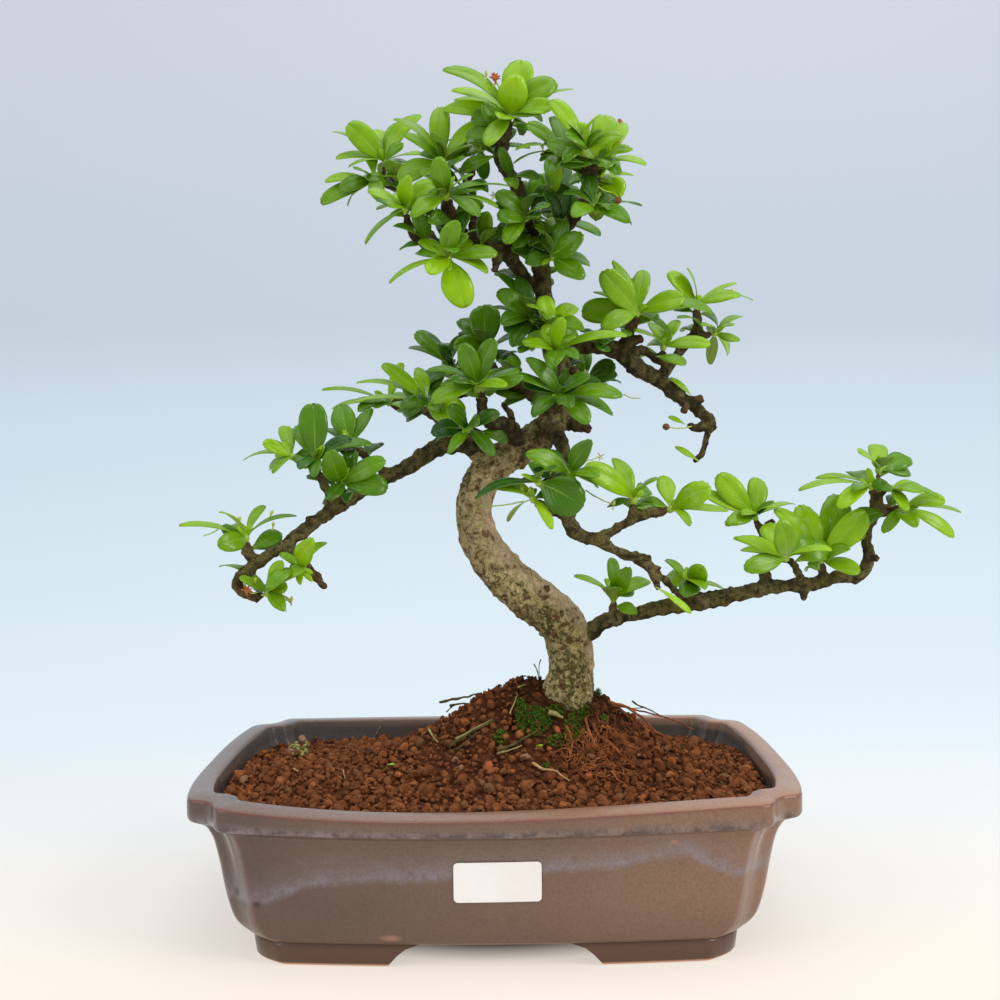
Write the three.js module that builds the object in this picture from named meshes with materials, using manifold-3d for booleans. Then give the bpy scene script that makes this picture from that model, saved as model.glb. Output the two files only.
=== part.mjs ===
// A fukien tea bonsai, Carmona, standing in a glazed four-footed pot with notched corners.
// Millimetres, +Z up, +Y to the back. Everything is laid out from the pot's centre on the table,
// and the last lines move it so that the origin lies under the middle of its box.
import * as THREE from "three";
import { mergeVertices } from "three/addons/utils/BufferGeometryUtils.js";
import Module from "manifold-3d";

const wasm = await Module();
wasm.setup();

// Driving sizes.
const GAP = 0.35;
const POT_HALF_WIDTH = 130;
const POT_HALF_DEPTH = 98;
const RIM_HEIGHT = 68.2;
const RIM_SAG_FRONT = 3.5;
const RIM_SAG_BACK = 1;
const RIM_SAG_LEAN = 0.7;
const RIM_SAG_SHORT = 1.5;
const RIM_TOP_SIDE = 10;
const RIM_TOP_FRONT = 13;
const SHORT_SIDE_END = 71;
const SHORT_SIDE_BOW = 6;
const SHORT_SIDE_ROUND = 2.8;
const LONG_SIDE_END = 112.5;
const LONG_SIDE_BOW = 8;
const FOOT_SIDE_BOW = 4.7;
const FLOOR_TOP = 14;
const BODY_BOTTOM = 9.8;
const FOOT_END_X = 45;
const FOOT_END_Y = 36;
const DRAIN_X = 45;
const DRAIN_RADIUS = 9;
const SCREEN_WIDTH = 26;
const SCREEN_THICK = 0.8;
const SCREEN_HOLE = 9;
const SOIL_BOTTOM = FLOOR_TOP + GAP + SCREEN_THICK + GAP;
const SOIL_STEP = 14;
const TRUNK_X = 33.5;
const HEAP = { x: 0, y: 8, height: 8, reach: 25 };
const LABEL = { left: -16.7, right: 19.2, low: 28.5, high: 45.2, thick: 0.5 };
const RING_STEP = 14;
const BARK_ROUGHNESS = 0.13;
const LEAF_LENGTH = 24;
const LEAF_LEAN = 0.75;
const LEAF_CUP = 0.16;
const LEAF_THICK = 0.7;
const LEAF_CLEAR = 0.45;
const BUD_HALF_LENGTH = 2.4;
const BUD_RADIUS = 2.2;
const LEAF_START = 0.7;
const LEAF_FREE = 5;

// The eye that the tree was measured from: seen() gives the point that it sees at (x, z)
// in the plane of the pot's centre, lying y behind that plane.
const EYE = new THREE.Vector3(5.9, -620, 214.2);

function seen(x, z, y) {
  const reach = (y - EYE.y) / -EYE.y;
  return new THREE.Vector3(EYE.x + (x - EYE.x) * reach, y, EYE.z + (z - EYE.z) * reach);
}

// The depths in the tree's tables count this many times over.
const DEPTH_SPREAD = 2.2;

function onTree([x, z, y]) {
  return seen(x, z, y * DEPTH_SPREAD);
}

// A small seeded random source, from 0 to 1.
function randomSource(seed) {
  let state = seed >>> 0;
  return () => {
    state = (Math.imul(state, 1664525) + 1013904223) >>> 0;
    return state / 4294967296;
  };
}

function geometryOf(points, faces) {
  const geometry = new THREE.BufferGeometry().setFromPoints(points);
  geometry.setIndex(faces.flat());
  return geometry;
}

function solidOf(geometry) {
  const bare = geometry.clone();
  bare.deleteAttribute("normal");
  bare.deleteAttribute("uv");
  const merged = mergeVertices(bare, 1e-4);
  const mesh = new wasm.Mesh({
    numProp: 3,
    vertProperties: merged.attributes.position.array,
    triVerts: new Uint32Array(merged.index.array),
  });
  return new wasm.Manifold(mesh);
}

function meshOf(solid, name, material) {
  const made = solid.getMesh();
  const geometry = new THREE.BufferGeometry();
  geometry.setAttribute("position", new THREE.BufferAttribute(made.vertProperties, 3));
  geometry.setIndex(new THREE.BufferAttribute(made.triVerts, 1));
  geometry.computeVertexNormals();
  const mesh = new THREE.Mesh(geometry, material);
  mesh.name = name;
  return mesh;
}

// Rings of points, low one first and each turning left seen from its far end, closed by fans.
function loft(rings) {
  const count = rings[0].length;
  const points = rings.flat();
  const faces = [];
  for (let ring = 0; ring + 1 < rings.length; ring++)
    for (let i = 0; i < count; i++) {
      const a = ring * count + i;
      const b = ring * count + ((i + 1) % count);
      faces.push([a, b, b + count], [a, b + count, a + count]);
    }
  const last = (rings.length - 1) * count;
  const low = points.push(middleOf(rings[0])) - 1;
  const high = points.push(middleOf(rings[rings.length - 1])) - 1;
  for (let i = 0; i < count; i++) {
    const next = (i + 1) % count;
    faces.push([low, next, i], [high, last + i, last + next]);
  }
  return geometryOf(points, faces);
}

function middleOf(ring) {
  const sum = ring.reduce((total, point) => total.add(point), new THREE.Vector3());
  return sum.divideScalar(ring.length);
}

function boxSolid(x0, x1, y0, y1, z0, z1) {
  const box = new THREE.BoxGeometry(x1 - x0, y1 - y0, z1 - z0);
  box.translate((x0 + x1) / 2, (y0 + y1) / 2, (z0 + z1) / 2);
  return solidOf(box);
}

// The pot's plan, a quarter at a time, from the short side's middle to the long side's middle.
// The rim's corners are notched and the feet's are plain: plain goes from 0 to 1 on the way down.
const SHORT_STEPS = 3;
const LONG_STEPS = 4;
const NOTCH = [
  [130, 71],
  [127.4, 75],
  [121.2, 77.6],
  [117.4, 81.6],
  [115.4, 86.4],
  [LONG_SIDE_END, POT_HALF_DEPTH - LONG_SIDE_BOW],
];
const PLAIN_CORNER = [
  [130, 71],
  [129.4, 77.2],
  [127.3, 82],
  [123.5, 86.3],
  [118.6, 90],
  [LONG_SIDE_END, POT_HALF_DEPTH - FOOT_SIDE_BOW],
];

function longSide(x, plain) {
  const bow = THREE.MathUtils.lerp(LONG_SIDE_BOW, FOOT_SIDE_BOW, plain);
  return POT_HALF_DEPTH - bow * (x / LONG_SIDE_END) ** 2;
}

function planQuarter(plain) {
  const quarter = [];
  for (let i = 0; i < SHORT_STEPS; i++) {
    const y = (SHORT_SIDE_END * i) / SHORT_STEPS;
    const flat = 1 - (y / SHORT_SIDE_END) ** SHORT_SIDE_ROUND;
    quarter.push([POT_HALF_WIDTH + SHORT_SIDE_BOW * flat, y]);
  }
  NOTCH.forEach(([x, y], i) => {
    const [plainX, plainY] = PLAIN_CORNER[i];
    quarter.push([THREE.MathUtils.lerp(x, plainX, plain), THREE.MathUtils.lerp(y, plainY, plain)]);
  });
  for (let i = LONG_STEPS - 1; i >= 0; i--) {
    const x = (LONG_SIDE_END * i) / LONG_STEPS;
    quarter.push([x, longSide(x, plain)]);
  }
  return quarter;
}

function planOf(plain) {
  const quarter = planQuarter(plain);
  const back = quarter.slice(0, -1);
  const mirrored = quarter.slice(1).reverse();
  return [
    ...back,
    ...mirrored.map(([x, y]) => [-x, y]),
    ...back.map(([x, y]) => [-x, -y]),
    ...mirrored.map(([x, y]) => [x, -y]),
  ].filter(([x, y], i, all) => i === 0 || Math.hypot(x - all[i - 1][0], y - all[i - 1][1]) > 1e-6);
}

// How far the rim hangs below its corners: most at the front, and there left of the middle.
function rimSag(x, y) {
  const alongX = THREE.MathUtils.clamp(x / LONG_SIDE_END, -1, 1);
  const alongY = Math.min(1, Math.abs(y) / SHORT_SIDE_END);
  const long = y < 0 ? RIM_SAG_FRONT * (1 - RIM_SAG_LEAN * alongX) : RIM_SAG_BACK;
  return long * (1 - alongX ** 2) + RIM_SAG_SHORT * (1 - alongY ** 2);
}

// One level of the pot: the plan drawn in by insetX at the short sides and insetY at the long ones.
function level(z, insetX, insetY, sagging = 0, plain = 0) {
  return planOf(plain).map(([x, y]) => {
    return new THREE.Vector3(
      (x * (POT_HALF_WIDTH - insetX)) / POT_HALF_WIDTH,
      (y * (POT_HALF_DEPTH - insetY)) / POT_HALF_DEPTH,
      z - sagging * rimSag(x, y),
    );
  });
}

// The wall from the bottom up, then the rim's sloping top: height, inset at the short sides,
// inset at the long sides, share of the sag, plainness of the corners.
const WALL = [
  [BODY_BOTTOM, 24.5, 9.6, 0, 0.85],
  [12.4, 20.6, 8.6, 0, 0.65],
  [15.6, 18, 7.9, 0, 0.5],
  [25, 15, 6.9, 0, 0.35],
  [40, 12.2, 6.2, 0.1, 0.3],
  [50, 9.7, 5.4, 0.2, 0.3],
  [55.2, 6, 4.4, 0.3, 0.2],
  [57.7, 0, 0, 0.3, 0],
  [66.2, 0, 0, 1, 0],
  [67.2, 1.2, 1.2, 1, 0],
  [RIM_HEIGHT, 9.5, 11.5, 1, 0],
];
const CAVITY = [
  [FLOOR_TOP, 30, 21],
  [24, 24, 17.5],
  [50, 17, 15.5],
  [60, RIM_TOP_SIDE, RIM_TOP_FRONT],
  [RIM_HEIGHT + 10, RIM_TOP_SIDE, RIM_TOP_FRONT],
];

function feet() {
  const outer = loft([level(0, 27.4, 10.4, 0, 1), level(BODY_BOTTOM + 0.5, 26.6, 10, 0, 1)]);
  const inner = loft([level(-1, 41, 24, 0, 1), level(BODY_BOTTOM + 1, 41, 24, 0, 1)]);
  const endCut = (half) => [
    new THREE.Vector2(-half, -1),
    new THREE.Vector2(half, -1),
    new THREE.Vector2(half - 8, BODY_BOTTOM + 1),
    new THREE.Vector2(8 - half, BODY_BOTTOM + 1),
  ];
  const tunnel = (half, turn) => {
    const shape = new THREE.Shape(endCut(half));
    const block = new THREE.ExtrudeGeometry(shape, { depth: 300, bevelEnabled: false });
    block.rotateX(Math.PI / 2).translate(0, 150, 0).rotateZ(turn);
    return solidOf(block);
  };
  return solidOf(outer)
    .subtract(solidOf(inner))
    .subtract(tunnel(FOOT_END_X, 0))
    .subtract(tunnel(FOOT_END_Y, Math.PI / 2));
}

function drainHole(x) {
  const hole = new THREE.CylinderGeometry(DRAIN_RADIUS, DRAIN_RADIUS, 20, 20);
  hole.rotateX(Math.PI / 2).translate(x, 0, FLOOR_TOP - 5);
  return solidOf(hole);
}

function pot() {
  const body = solidOf(loft(WALL.map((row) => level(...row))));
  const cavity = solidOf(loft(CAVITY.map(([z, insetX, insetY]) => level(z, insetX, insetY))));
  return body
    .add(feet())
    .subtract(cavity)
    .subtract(drainHole(-DRAIN_X))
    .subtract(drainHole(DRAIN_X));
}

// A square of plastic net over a drainage hole.
function drainScreen(x) {
  const half = SCREEN_WIDTH / 2;
  const low = FLOOR_TOP + GAP;
  let screen = boxSolid(x - half, x + half, -half, half, low, low + SCREEN_THICK);
  for (const i of [-1, 1])
    for (const j of [-1, 1]) {
      const holeX = x + i * SCREEN_WIDTH * 0.22;
      const holeY = j * SCREEN_WIDTH * 0.22;
      const reach = SCREEN_HOLE / 2;
      const hole = boxSolid(holeX - reach, holeX + reach, holeY - reach, holeY + reach, low - 1, low + 2);
      screen = screen.subtract(hole);
    }
  return screen;
}

// The soil: a mound that climbs to the trunk, steep on its right and front and long on its left,
// with a heap on its left shoulder.
function soilHeight(x, y) {
  const acrossX = (x - TRUNK_X) * (x < TRUNK_X ? 0.6 : 1);
  const acrossY = (y - 4) * (y < 4 ? 1.2 : 1.1);
  const far = Math.hypot(acrossX, acrossY);
  const front = THREE.MathUtils.clamp(-y / 85, -0.6, 1);
  const fromHeap = Math.hypot(x - HEAP.x, y - HEAP.y) / HEAP.reach;
  const heap = HEAP.height * Math.exp(-(fromHeap ** 2));
  return 59.5 + 3 * front + 44 * Math.exp(-((far / 43) ** 1.6)) + heap;
}

function soil(trunkHole) {
  const random = randomSource(11);
  const columns = Math.round((2 * POT_HALF_WIDTH) / SOIL_STEP);
  const rows = Math.round((2 * POT_HALF_DEPTH) / SOIL_STEP);
  const points = [];
  const faces = [];
  for (let j = 0; j <= rows; j++)
    for (let i = 0; i <= columns; i++) {
      const shift = j % 2 ? 0.25 : -0.25;
      const x = -POT_HALF_WIDTH + (i + shift) * SOIL_STEP + (random() - 0.5) * 2;
      const y = -POT_HALF_DEPTH + j * SOIL_STEP + (random() - 0.5) * 2;
      points.push(new THREE.Vector3(x, y, soilHeight(x, y) + (random() - 0.5) * 2.6));
    }
  const across = columns + 1;
  for (let j = 0; j < rows; j++)
    for (let i = 0; i < columns; i++) {
      const a = j * across + i;
      faces.push([a, a + 1, a + across + 1], [a, a + across + 1, a + across]);
    }
  const edge = [];
  for (let i = 0; i < columns; i++) edge.push(i);
  for (let j = 0; j < rows; j++) edge.push(j * across + columns);
  for (let i = columns; i > 0; i--) edge.push(rows * across + i);
  for (let j = rows; j > 0; j--) edge.push(j * across);
  const base = points.length;
  edge.forEach((index) => points.push(points[index].clone().setZ(0)));
  const centre = points.push(new THREE.Vector3(0, 0, 0)) - 1;
  edge.forEach((top, i) => {
    const next = (i + 1) % edge.length;
    faces.push([top, base + i, base + next], [top, base + next, edge[next]], [base + next, base + i, centre]);
  });
  const inside = CAVITY.map(([z, insetX, insetY], i) =>
    level(i === 0 ? SOIL_BOTTOM : z + (i > 3 ? 60 : 0), insetX + 1.5 * GAP, insetY + 1.5 * GAP),
  );
  return solidOf(geometryOf(points, faces)).intersect(solidOf(loft(inside))).subtract(trunkHole);
}

// The middles of the limbs so far: a new limb starts from the one that its first point lies deepest in.
const middles = [];
const MIDDLES_A_SPAN = 8;

function grownRoute(route) {
  const points = route.map(onTree);
  const depthIn = (middle) => middle.point.distanceTo(points[0]) - middle.radius;
  if (middles.length) {
    const start = middles.reduce((best, middle) => (depthIn(middle) < depthIn(best) ? middle : best));
    points[0] = start.point;
  }
  const curve = new THREE.CatmullRomCurve3(points);
  const steps = MIDDLES_A_SPAN * (route.length - 1);
  for (let i = 0; i <= steps; i++)
    middles.push({ point: curve.getPoint(i / steps), radius: route[Math.floor(i / MIDDLES_A_SPAN)][3] });
  return points;
}

// A limb through the points, with a radius at each.
function limb(through, radii, sides, rough, grow, seed) {
  const random = randomSource(seed);
  const curve = new THREE.CatmullRomCurve3(through);
  const spans = through.length - 1;
  const steps = Math.max(1, Math.round(curve.getLength() / RING_STEP));
  const side = new THREE.Vector3(0.3, 1, 0.1);
  const rings = Array.from({ length: steps + 1 }, (_, step) => {
    const station = curve.getUtoTmapping(step / steps) * spans;
    const centre = curve.getPoint(station / spans);
    const along = curve.getTangent(station / spans);
    side.addScaledVector(along, -side.dot(along)).normalize();
    const other = new THREE.Vector3().crossVectors(along, side);
    const span = Math.min(spans - 1, Math.floor(station));
    const radius = THREE.MathUtils.lerp(radii[span], radii[span + 1], station - span);
    return Array.from({ length: sides }, (_, i) => {
      const angle = (2 * Math.PI * i) / sides;
      const reach = radius * (1 + rough * (random() - 0.5) * 2) + grow;
      return centre
        .clone()
        .addScaledVector(side, reach * Math.cos(angle))
        .addScaledVector(other, reach * Math.sin(angle));
    });
  });
  return loft(rings);
}

const TRUNK = [
  [33, 62, 2, 11.5],
  [33.5, 78, 2, 13],
  [33.5, 90, 1, 13],
  [34.5, 97, 0, 12.2],
  [36, 104, 0, 11],
  [36.2, 112, 0, 10.4],
  [35.5, 120, 0, 10.6],
  [33, 128, 0, 11],
  [26, 136, 0, 10.6],
  [16.5, 143.5, 0, 10.5],
  [7, 151.5, 0, 10.3],
  [-1, 161, 0, 9.8],
  [-6.3, 171, 0, 9.2],
  [-8.7, 181, 0, 8.4],
  [-8.2, 190, 0, 8.2],
  [-4.5, 199, 1, 8.4],
  [4, 207.5, 2, 8.2],
  [15, 214, 3, 7.8],
  [25, 221, 3, 7.2],
  [31, 230, 3, 6.6],
  [33, 240, 4, 6.2],
  [32, 250, 4, 5.8],
  [29, 260, 4, 5.2],
  [27, 270, 4, 4.4],
  [25.5, 280, 4, 4.2],
  [24.5, 290, 4, 4.4],
  [23.5, 298, 4, 4.5],
  [22.5, 305, 4, 4],
];

// Branches, in the order left, middle left, middle right, lower middle, lower right, crown.
const BRANCHES = [
  [[0, 209, 2, 5.5], [-8, 214, 1, 5.4], [-19, 216, -1, 4.6], [-30, 211, -4, 4], [-40, 204.8, -7, 3.6],
    [-50, 200, -9, 3.2], [-60, 194.2, -12, 3.2], [-70, 189, -14, 3.7], [-80, 182.3, -16, 3.1],
    [-90, 174.6, -18, 2.9], [-100, 167.6, -20, 2.7], [-110, 161.5, -21, 2.9], [-117, 156, -22, 2.9],
    [-121.5, 151, -22, 2.6], [-119.5, 146.3, -22, 2.4], [-114, 143.6, -22, 2.2], [-110, 144.3, -22, 1.7]],
  [[-17, 217, 0, 3], [-21, 221.5, 4, 2.6], [-25, 227, 8, 2.5], [-31, 231.4, 11, 2.7],
    [-38, 234, 13, 3], [-45, 234.3, 14, 2.6]],
  [[27, 232, 4, 4], [20, 238.5, 2, 3.6], [12, 242.6, 0, 3.4], [4, 244.2, -2, 3.6], [-3, 242.5, -4, 3.4],
    [-11, 240.3, -5, 2.6], [-20, 238, -5, 2.6], [-27, 235.7, -5, 2.2]],
  [[16, 217, -2, 4.5], [8, 223.5, -8, 3.4], [1, 224.8, -12, 3], [-3.5, 228, -14, 2.8],
    [-4.5, 234, -15, 2.8], [-5.5, 239.5, -16, 2.4]],
  [[30, 261, 4, 4.5], [38, 261, 5, 4], [48, 260.6, 6, 3.6], [57, 259, 7, 4], [64, 254.5, 8, 4],
    [71, 249, 8, 4.2], [80, 243.6, 8, 3.8], [90, 235.5, 9, 3.4], [97, 230.5, 10, 2.9],
    [103, 224.6, 10, 2.6], [104.5, 222.3, 10, 2.2]],
  [[80, 245, 8, 2.8], [83, 251, 11, 2.6], [87.5, 256.5, 13, 2.5], [92, 262, 15, 2.4], [96, 266, 16, 2.9],
    [97, 271, 16, 2.4], [96.3, 275, 16, 2.1]],
  [[31, 221, -2, 5], [33, 214, -8, 3.4], [34.5, 207, -13, 2.6], [36, 199, -17, 3.2], [37.5, 190, -19, 2.8],
    [36.5, 182, -20, 3], [36, 177, -21, 3.2], [39.5, 172.5, -21, 3.2], [48, 169.6, -22, 2.6],
    [55, 166, -22, 2.2], [62, 162.8, -22, 2.2], [69.5, 160, -22, 2.6], [74, 156, -23, 2.2],
    [77, 150, -23, 2], [77.6, 146, -23, 1.5]],
  [[48, 170, -22, 2.4], [54, 172.2, -21, 2.2], [60, 175.5, -20, 2.2], [67, 179.3, -19, 2.5],
    [74, 181.8, -18, 2.4], [80, 182.4, -17, 2.2]],
  [[36, 121, -1, 6], [46, 126, -4, 4.4], [53, 131, -6, 3.6], [62, 133.5, -8, 3.2], [70, 135, -9, 3.1],
    [80, 137, -9, 3.4], [90, 138.7, -10, 4.1], [100, 140, -10, 4.3], [110, 141.3, -10, 3.4],
    [120, 144, -9, 3.5], [130, 146, -8, 3.3], [140, 146.8, -7, 2.8], [147, 147, -7, 3.4],
    [155, 148.6, -7, 2.9], [165, 150.5, -7, 2.8], [172, 151, -7, 2.8], [176, 155, -7, 2.7],
    [177.3, 160.5, -7, 2.8], [176, 167, -7, 2.3], [177.3, 174, -7, 2.3], [180, 181, -7, 3.4],
    [181, 188, -7, 3.1], [181.5, 193, -7, 2.2], [181.7, 197, -7, 1.4]],
  [[128, 147, -7, 2.9], [128.3, 160, -5, 2.6], [128, 170, -4, 2.3], [126, 175, -4, 1.9]],
  [[22.5, 301, 4, 4.4], [20.5, 309, 2, 4.2], [17.5, 318, 0, 3.2], [15.5, 327, -2, 2.8],
    [12.5, 336, -3, 3.4], [7.5, 344, -3, 3.6], [5, 350, -3, 3.4], [7, 357, -3, 2.8], [9, 363.5, -3, 2.2]],
  [[24, 302, 4, 4.2], [29.5, 309, 1, 3.7], [34.5, 315.5, -3, 3.3], [40, 321.5, -6, 3], [44, 326, -8, 2.8],
    [47, 331, -9, 2.8], [46.8, 337, -9, 2.8], [46, 343, -9, 3], [42.5, 347, -9, 2.6], [38.5, 348.6, -9, 2.1]],
  [[24.5, 286, 4, 3.6], [17, 292, 2, 3.2], [11, 300, 0, 3.2], [4, 306, -2, 3.2], [-6, 307, -4, 3],
    [-14, 305.6, -6, 2.8], [-22, 306.6, -8, 2.6], [-29, 308.4, -9, 2.6], [-34, 312.5, -10, 2.6],
    [-38, 318, -11, 2.1], [-39, 322, -12, 1.7]],
  [[22, 304, 4, 3.6], [12, 307, 1, 3.4], [2, 306.8, -3, 3]],
];

// Twigs that end under a leafy shoot, by the shoot's name.
const TWIGS = {
  left_hook: [[-112, 143.6, -22, 1.8], [-109.5, 144.6, -22, 1.6]],
  left_tip: [[-111, 160, -21, 2.6], [-116.5, 165.5, -21, 2.5], [-116.8, 169, -21, 2]],
  left_under: [[-97, 168, -19, 2], [-94, 161, -22, 2.2], [-92.5, 158.6, -24, 1.8]],
  left_outer: [[-75, 187, -15, 2.6], [-77.5, 193, -16, 2.3], [-81, 199.5, -17, 2.2], [-86, 206.5, -18, 2.1],
    [-92, 209, -18, 2]],
  left_high: [[-82.5, 201.5, -17, 2], [-83, 205.5, -18, 1.8]],
  left_inner: [[-71, 190, -15, 2.6], [-71.2, 195, -17, 2]],
  left_behind: [[-50, 201.5, -9, 2], [-56, 206.5, -10, 1.8], [-61, 211.5, -11, 2.1],
    [-64.6, 213.6, -12, 1.7]],
  middle_far: [[-43, 234.2, 14, 2.4], [-46, 234.6, 14, 2.2]],
  middle_left: [[-25, 236.3, -5, 2], [-28, 235.5, -5, 1.9]],
  middle_front: [[-5.2, 238, -16, 2.2], [-6, 240.6, -17, 2]],
  middle_low: [[-3, 212.5, -2, 2.8], [-6, 219, -9, 2.5], [-10, 221.6, -14, 1.8]],
  middle_high: [[4, 244.5, 0, 2], [1, 252, 6, 1.8], [-1, 258, 10, 1.6]],
  middle_back: [[-11, 240.5, -4, 2], [-15, 247, 6, 1.7], [-19, 251.5, 13, 1.5]],
  trunk_left: [[26, 271, 3, 2.4], [22, 272, 0, 1.7], [20.5, 272.6, -1, 1.5]],
  trunk_front: [[33, 236, 0, 2.6], [32.6, 237.5, -11, 1.7]],
  trunk_upper: [[29, 258, 0, 2.4], [30, 258.3, -8, 1.6]],
  trunk_right: [[27, 271, 2, 2.2], [28, 270, -6, 1.5]],
  trunk_behind: [[36, 240, 6, 2.4], [42, 242.5, 12, 1.7], [43.6, 244, 14, 1.5]],
  right_spur: [[62, 261, 7, 3.2], [65.5, 268, 5, 2.8], [67.8, 273.5, 4, 2]],
  right_high: [[97, 272, 16, 2], [96.6, 276.4, 16, 1.9]],
  right_end: [[92, 262.4, 15, 2.2], [98, 265, 16, 2], [102.6, 265.6, 16, 1.6]],
  right_fork: [[64, 258, 8, 3], [70, 258.6, 9, 2.2], [76, 255.6, 10, 2], [80.3, 254, 10, 2.2],
    [80.6, 257.4, 10, 1.8]],
  lower_top: [[36, 199.5, -17, 2.6], [36.4, 200.8, -24, 1.8]],
  lower_round: [[35.5, 199, -18, 2], [28, 198, -23, 1.6], [23.5, 196.8, -26, 1.4]],
  lower_left: [[35.5, 181, -20, 2.4], [30, 183, -22, 2.4], [25, 184.6, -24, 2.6], [21.2, 187.4, -25, 1.8]],
  lower_spur: [[65.5, 178.5, -19, 2.2], [66.3, 185.4, -19, 1.9]],
  lower_end: [[78, 182.2, -17, 2.2], [81.4, 182.9, -17, 2]],
  long_first: [[56, 134, -6, 2.2], [56.7, 139.6, -7, 1.6]],
  long_second: [[90.5, 141, -12, 2.4], [91.8, 145.6, -13, 1.6]],
  long_upright: [[127, 173, -4, 1.9], [124.8, 177.2, -4, 1.7]],
  long_curved: [[147, 147, -8, 2.6], [144, 153.5, -11, 1.8], [141.5, 157.6, -13, 1.7],
    [139.6, 159, -14, 1.5]],
  long_third: [[155.5, 150, -7, 2.6], [155, 156.4, -8, 1.9]],
  long_outward: [[180, 181, -7, 2.8], [186, 181.3, -9, 2.6], [190.6, 182.6, -10, 2]],
  long_left: [[180.5, 188, -8, 2], [178.9, 192, -10, 1.5]],
  long_right: [[181, 189, -8, 2.2], [185.4, 191.4, -10, 1.6]],
  long_top: [[181.6, 196, -7, 1.5], [181.8, 198.6, -7, 1.3]],
  crown_top: [[8.8, 362.5, -3, 2.2], [9.4, 365.4, -3, 2]],
  crown_inner: [[-2, 307, -3, 2.4], [-8, 322, 5, 2], [-12, 335, 9, 1.8], [-8, 343, 8, 1.8],
    [-5, 349.6, 7, 1.7]],
  crown_middle: [[-18, 322, -9, 2], [-21.5, 335, -3, 1.6], [-22, 345, 1, 1.5]],
  crown_far: [[-24, 307, -7, 2.4], [-30, 316, 6, 2.2], [-37, 328, 14, 2], [-43, 336, 17, 2.4],
    [-47.5, 338.5, 18, 2.5], [-48.3, 345, 18, 1.9]],
  crown_outer: [[-46, 338, 18, 2.2], [-51.5, 338.4, 16, 1.8]],
  crown_front: [[-9, 307, -5, 2.6], [-13.5, 315, -8, 2.4], [-18, 322, -11, 2.8], [-19.6, 328.6, -13, 2]],
  crown_left: [[-38.6, 320, -11.6, 1.8], [-38.9, 322.6, -12, 1.6]],
  crown_hanging: [[-19, 305.5, -8, 2], [-19.5, 303, -15, 1.5]],
  crown_centre: [[17, 319, 0, 2.4], [16.6, 320.4, -7, 1.6]],
  crown_back: [[26, 306, 5, 2.6], [27.5, 313, 10, 2], [28, 318, 13, 1.7]],
  crown_low: [[27, 304, 2, 2.6], [29, 302.4, -5, 1.7]],
  crown_right: [[40, 348, -9, 2.2], [38, 349, -9, 1.9]],
  crown_high: [[44.5, 344, -9, 2.4], [44.5, 349.6, -13, 1.7]],
  crown_edge: [[46.5, 341, -9, 2.4], [50.6, 344.4, -11, 1.9]],
  crown_side: [[45, 327, -8, 2.4], [48.4, 326, -13, 1.7]],
  crown_bright: [[47.5, 336, -8, 2.2], [51, 338.4, -2, 1.6]],
};

// Bare stubs and snags.
const STUBS = [
  [[-97, 168, -19, 2], [-93, 160, -19, 2.2], [-86, 155, -19, 2.4], [-80, 148, -19, 1.8]],
  [[-89, 157, -19, 1.8], [-88, 162.5, -19, 1.4]],
  [[-87, 177, -17, 2.2], [-87.3, 181.6, -18, 1.6]],
  [[-51, 201, -9, 2.4], [-53, 205.4, -10, 1.4]],
  [[104, 223, 10, 2.2], [97, 222.2, 9, 2.2], [93, 223, 8, 1.7]],
  [[103, 222.5, 10, 2], [100.5, 214, 10, 1.5], [98.5, 209, 10, 1.8], [95, 206, 10, 1.4]],
  [[92, 234, 9, 2.6], [99.3, 236, 9, 2.2]],
  [[90, 232, 9, 2.4], [90.3, 229.5, 6, 1.8]],
  [[60, 261, 7, 3.4], [71, 264.8, 7, 2]],
  [[75, 156, -22, 2], [80.5, 150.5, -20, 1.7], [86, 144.8, -18, 1.8], [89, 142, -17, 1.6]],
  [[70, 161, -22, 2], [74.5, 161.4, -23, 1.5]],
  [[74, 157, -22, 1.3], [79.5, 156, -22, 0.9]],
  [[128.5, 172, -4, 2.4], [132, 177.6, -6, 1.9]],
  [[147, 145, -8, 2], [146.5, 140, -9, 1.6]],
  [[177, 160, -8, 2.2], [181, 159.5, -11, 1.7]],
  [[184, 181.6, -9, 1.9], [190, 186, -6, 1.5], [195.5, 188.6, -5, 1.2]],
  [[16.5, 318, 0, 2], [16, 334, 3, 1.6]],
  [[6, 304.5, -4, 2.6], [2.8, 299, -8, 2], [1, 296.4, -10, 1.4]],
  [[-6, 307, -5, 2], [-8.5, 320, -10, 1.5]],
  [[31, 252, 3, 3], [29.6, 255.4, -2.5, 2.4]],
  [[36, 240, 1, 3], [39.4, 250.4, -2, 2.1]],
  [[36, 222, 2, 4.2], [42, 223.5, 0, 3], [45.6, 221.4, -1, 2.1]],
  [[15, 240, 1, 3], [19.5, 236.6, -5, 2]],
  [[13, 223.5, -5, 2], [9, 229, -4, 1.6], [5, 234.6, -2, 1.3]],
  [[22.6, 145.2, -3, 3.4], [25.4, 147, -5.5, 2.1]],
];

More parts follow.
